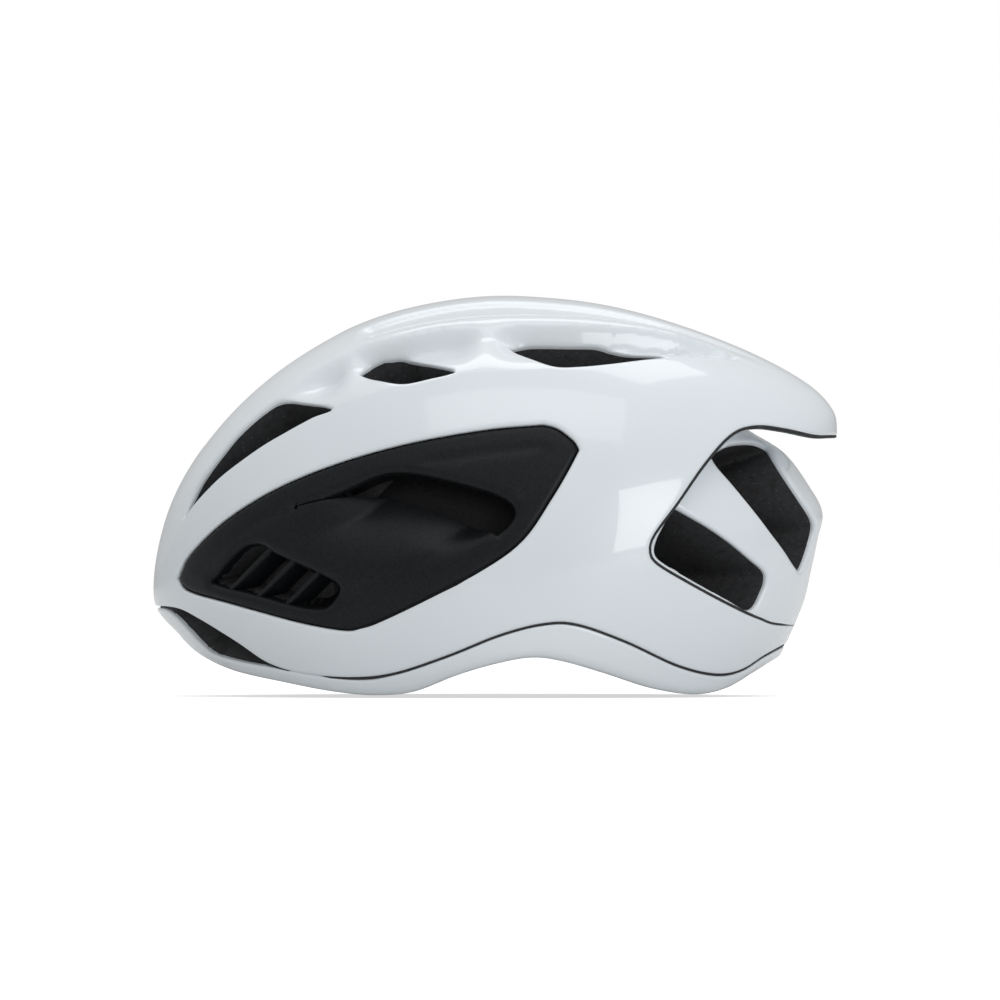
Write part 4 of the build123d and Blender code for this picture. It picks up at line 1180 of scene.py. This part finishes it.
def chin_strap(name, side, material):
    """Half of the chin strap: up the wall, then straight across to the buckle."""
    wide, high = HEAD_WIDE - WEB_MIDDLE, HEAD_HIGH - WEB_MIDDLE
    turn = np.linspace(np.arcsin((CHIN_LOW - HEAD_Z) / high), np.arcsin((CHORD_Z - HEAD_Z) / high), 30)
    along_wall = np.column_stack([wide * np.cos(turn), HEAD_Z + high * np.sin(turn)])
    chord = np.column_stack([np.linspace(along_wall[-1, 0] - 2, CHORD_END, 12), np.full(12, CHORD_Z)])
    line = resample(np.vstack([along_wall, chord]), 1.0)
    for _ in range(4):
        line[1:-1] = (line[:-2] + 2 * line[1:-1] + line[2:]) / 4
    ahead = np.gradient(line, axis=0)
    ahead /= np.linalg.norm(ahead, axis=1)[:, None]
    up = np.column_stack([-ahead[:, 1], ahead[:, 0]])
    grids = []
    for sign in (-1, 1):
        yz = line[:, None, :] + up[:, None, :] * (sign * WEB_THICK / 2 * WEB_FULL)[None, :, None]
        x = np.broadcast_to(CHIN_X + ACROSS * WEB_HALF, yz.shape[:2])
        grids.append(np.dstack([x, yz]))
    return ribbon(name + "_webbing", grids[0], grids[1], side, material)


def make_straps(material):
    for side, word in ((-1, "left"), (1, "right")):
        side_strap(word + "_front_strap", FRONT_STRAP, side, material)
        side_strap(word + "_rear_strap", REAR_STRAP, side, material)
        chin = chin_strap(word + "_chin_strap", side, material)
        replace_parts(chin, word + "_chin_strap")
        if side < 0:
            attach(chin, "shell")
        else:
            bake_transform(chin)


# ---- Fit system
def make_arms(material):
    """Copies of the arms, with the given material, in place of the CAD arms."""
    for side, word in ((-1, "left"), (1, "right")):
        arm = cad_copy(word + "_arm", word + "_arm_band")
        arm.data.materials.append(material)
        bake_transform(arm)
        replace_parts(arm, word + "_arm")


def paint_cad(looks):
    """Gives the CAD nodes the material for their slot."""
    for part in frame["record"]["subparts"]:
        for place in frame["nodes"][part["node"]].material_slots:
            place.material = looks.get(part["material_slot"], place.material)


# ---- Studio
def make_floor():
    mesh = bpy.data.meshes.new("floor")
    corners = [(-6, -6, 0), (6, -6, 0), (6, 6, 0), (-6, 6, 0)]
    mesh.from_pydata(corners, [], [(0, 1, 2, 3)])
    n = Nodes(bpy.data.materials.new("pale_floor"))
    n.colour(n.noise(n.place(), 3.0), "Fac", [(0.3, (0.66, 0.66, 0.66)), (0.7, (0.69, 0.69, 0.69))])
    glow = n.add("ShaderNodeMapRange", To_Min=0.08, To_Max=0.62)
    n.link(n.add("ShaderNodeLightPath"), "Is Camera Ray", glow, "Value")
    n.link(glow, "Result", n.surface, "Emission Strength")
    mesh.materials.append(n.finish(Roughness=0.85, Emission_Color=(1, 1, 1, 1)))
    add_object("floor", mesh)


def area_light(name, place, aim, width, height, power):
    data = bpy.data.lights.new(name, "AREA")
    data.shape, data.size, data.size_y, data.energy = "RECTANGLE", width, height, power
    light = add_object(name, data)
    light.location = place
    light.rotation_euler = (Vector(aim) - Vector(place)).to_track_quat("-Z", "Y").to_euler()


def make_world():
    """A white backdrop that lights the object more from above than from the sides."""
    n = Nodes(bpy.data.worlds.new("studio"), "Background")
    split = n.add("ShaderNodeSeparateXYZ")
    n.link(n.place(), "Generated", split, 0)
    from_above = n.add("ShaderNodeMapRange", From_Min=-0.2, From_Max=0.9, To_Min=0.34, To_Max=0.8)
    n.link(split, "Z", from_above, "Value")
    brighter = n.add("ShaderNodeMath", operation="MAXIMUM")
    n.link(from_above, "Result", brighter, 0)
    n.link(n.add("ShaderNodeLightPath"), "Is Camera Ray", brighter, 1)
    n.link(brighter, 0, n.surface, "Strength")
    bpy.context.scene.world = n.finish(Color=(1, 1, 1, 1))


def make_studio():
    make_world()
    bpy.context.scene.view_settings.view_transform = "Standard"
    aim = (0, 0, 0.08)
    area_light("key", (0.05, -1.0, 1.7), aim, 1.3, 0.8, 3.4)
    area_light("side", (0.84, -1.17, 0.36), aim, 0.52, 0.62, 3.6)
    area_light("top", (0.1, 0.4, 1.9), aim, 1.6, 0.9, 8.2)


CAMERA_AWAY, FIELD, LOOK_X, LOOK_Z = 8.0, 0.420, 0.0021, 0.0823


def make_camera():
    data = bpy.data.cameras.new("camera")
    camera = add_object("camera", data)
    data.lens = data.sensor_width * CAMERA_AWAY / FIELD
    data.clip_end = 30
    camera.location = (LOOK_X, -CAMERA_AWAY, LOOK_Z)
    camera.rotation_euler = (pi / 2, 0, 0)
    bpy.context.scene.camera = camera


def main():
    make_upper_shell(WHITE, CROWN_WHITE)
    make_lower_shell(GREY)
    make_rear_shell(WHITE)
    make_liner(FOAM, DUCT_PAINTED_SHADE)
    for side in (-1, 1):
        make_panel(PANEL_BLACK, side)
    make_pads(PAD_CLOTH)
    make_straps(WEBBING)
    make_arms(NYLON)
    paint_cad({"nylon_black": NYLON, "grip_rubber": RUBBER, "screw_steel": STEEL})
    make_floor()
    make_studio()
    make_camera()


main()
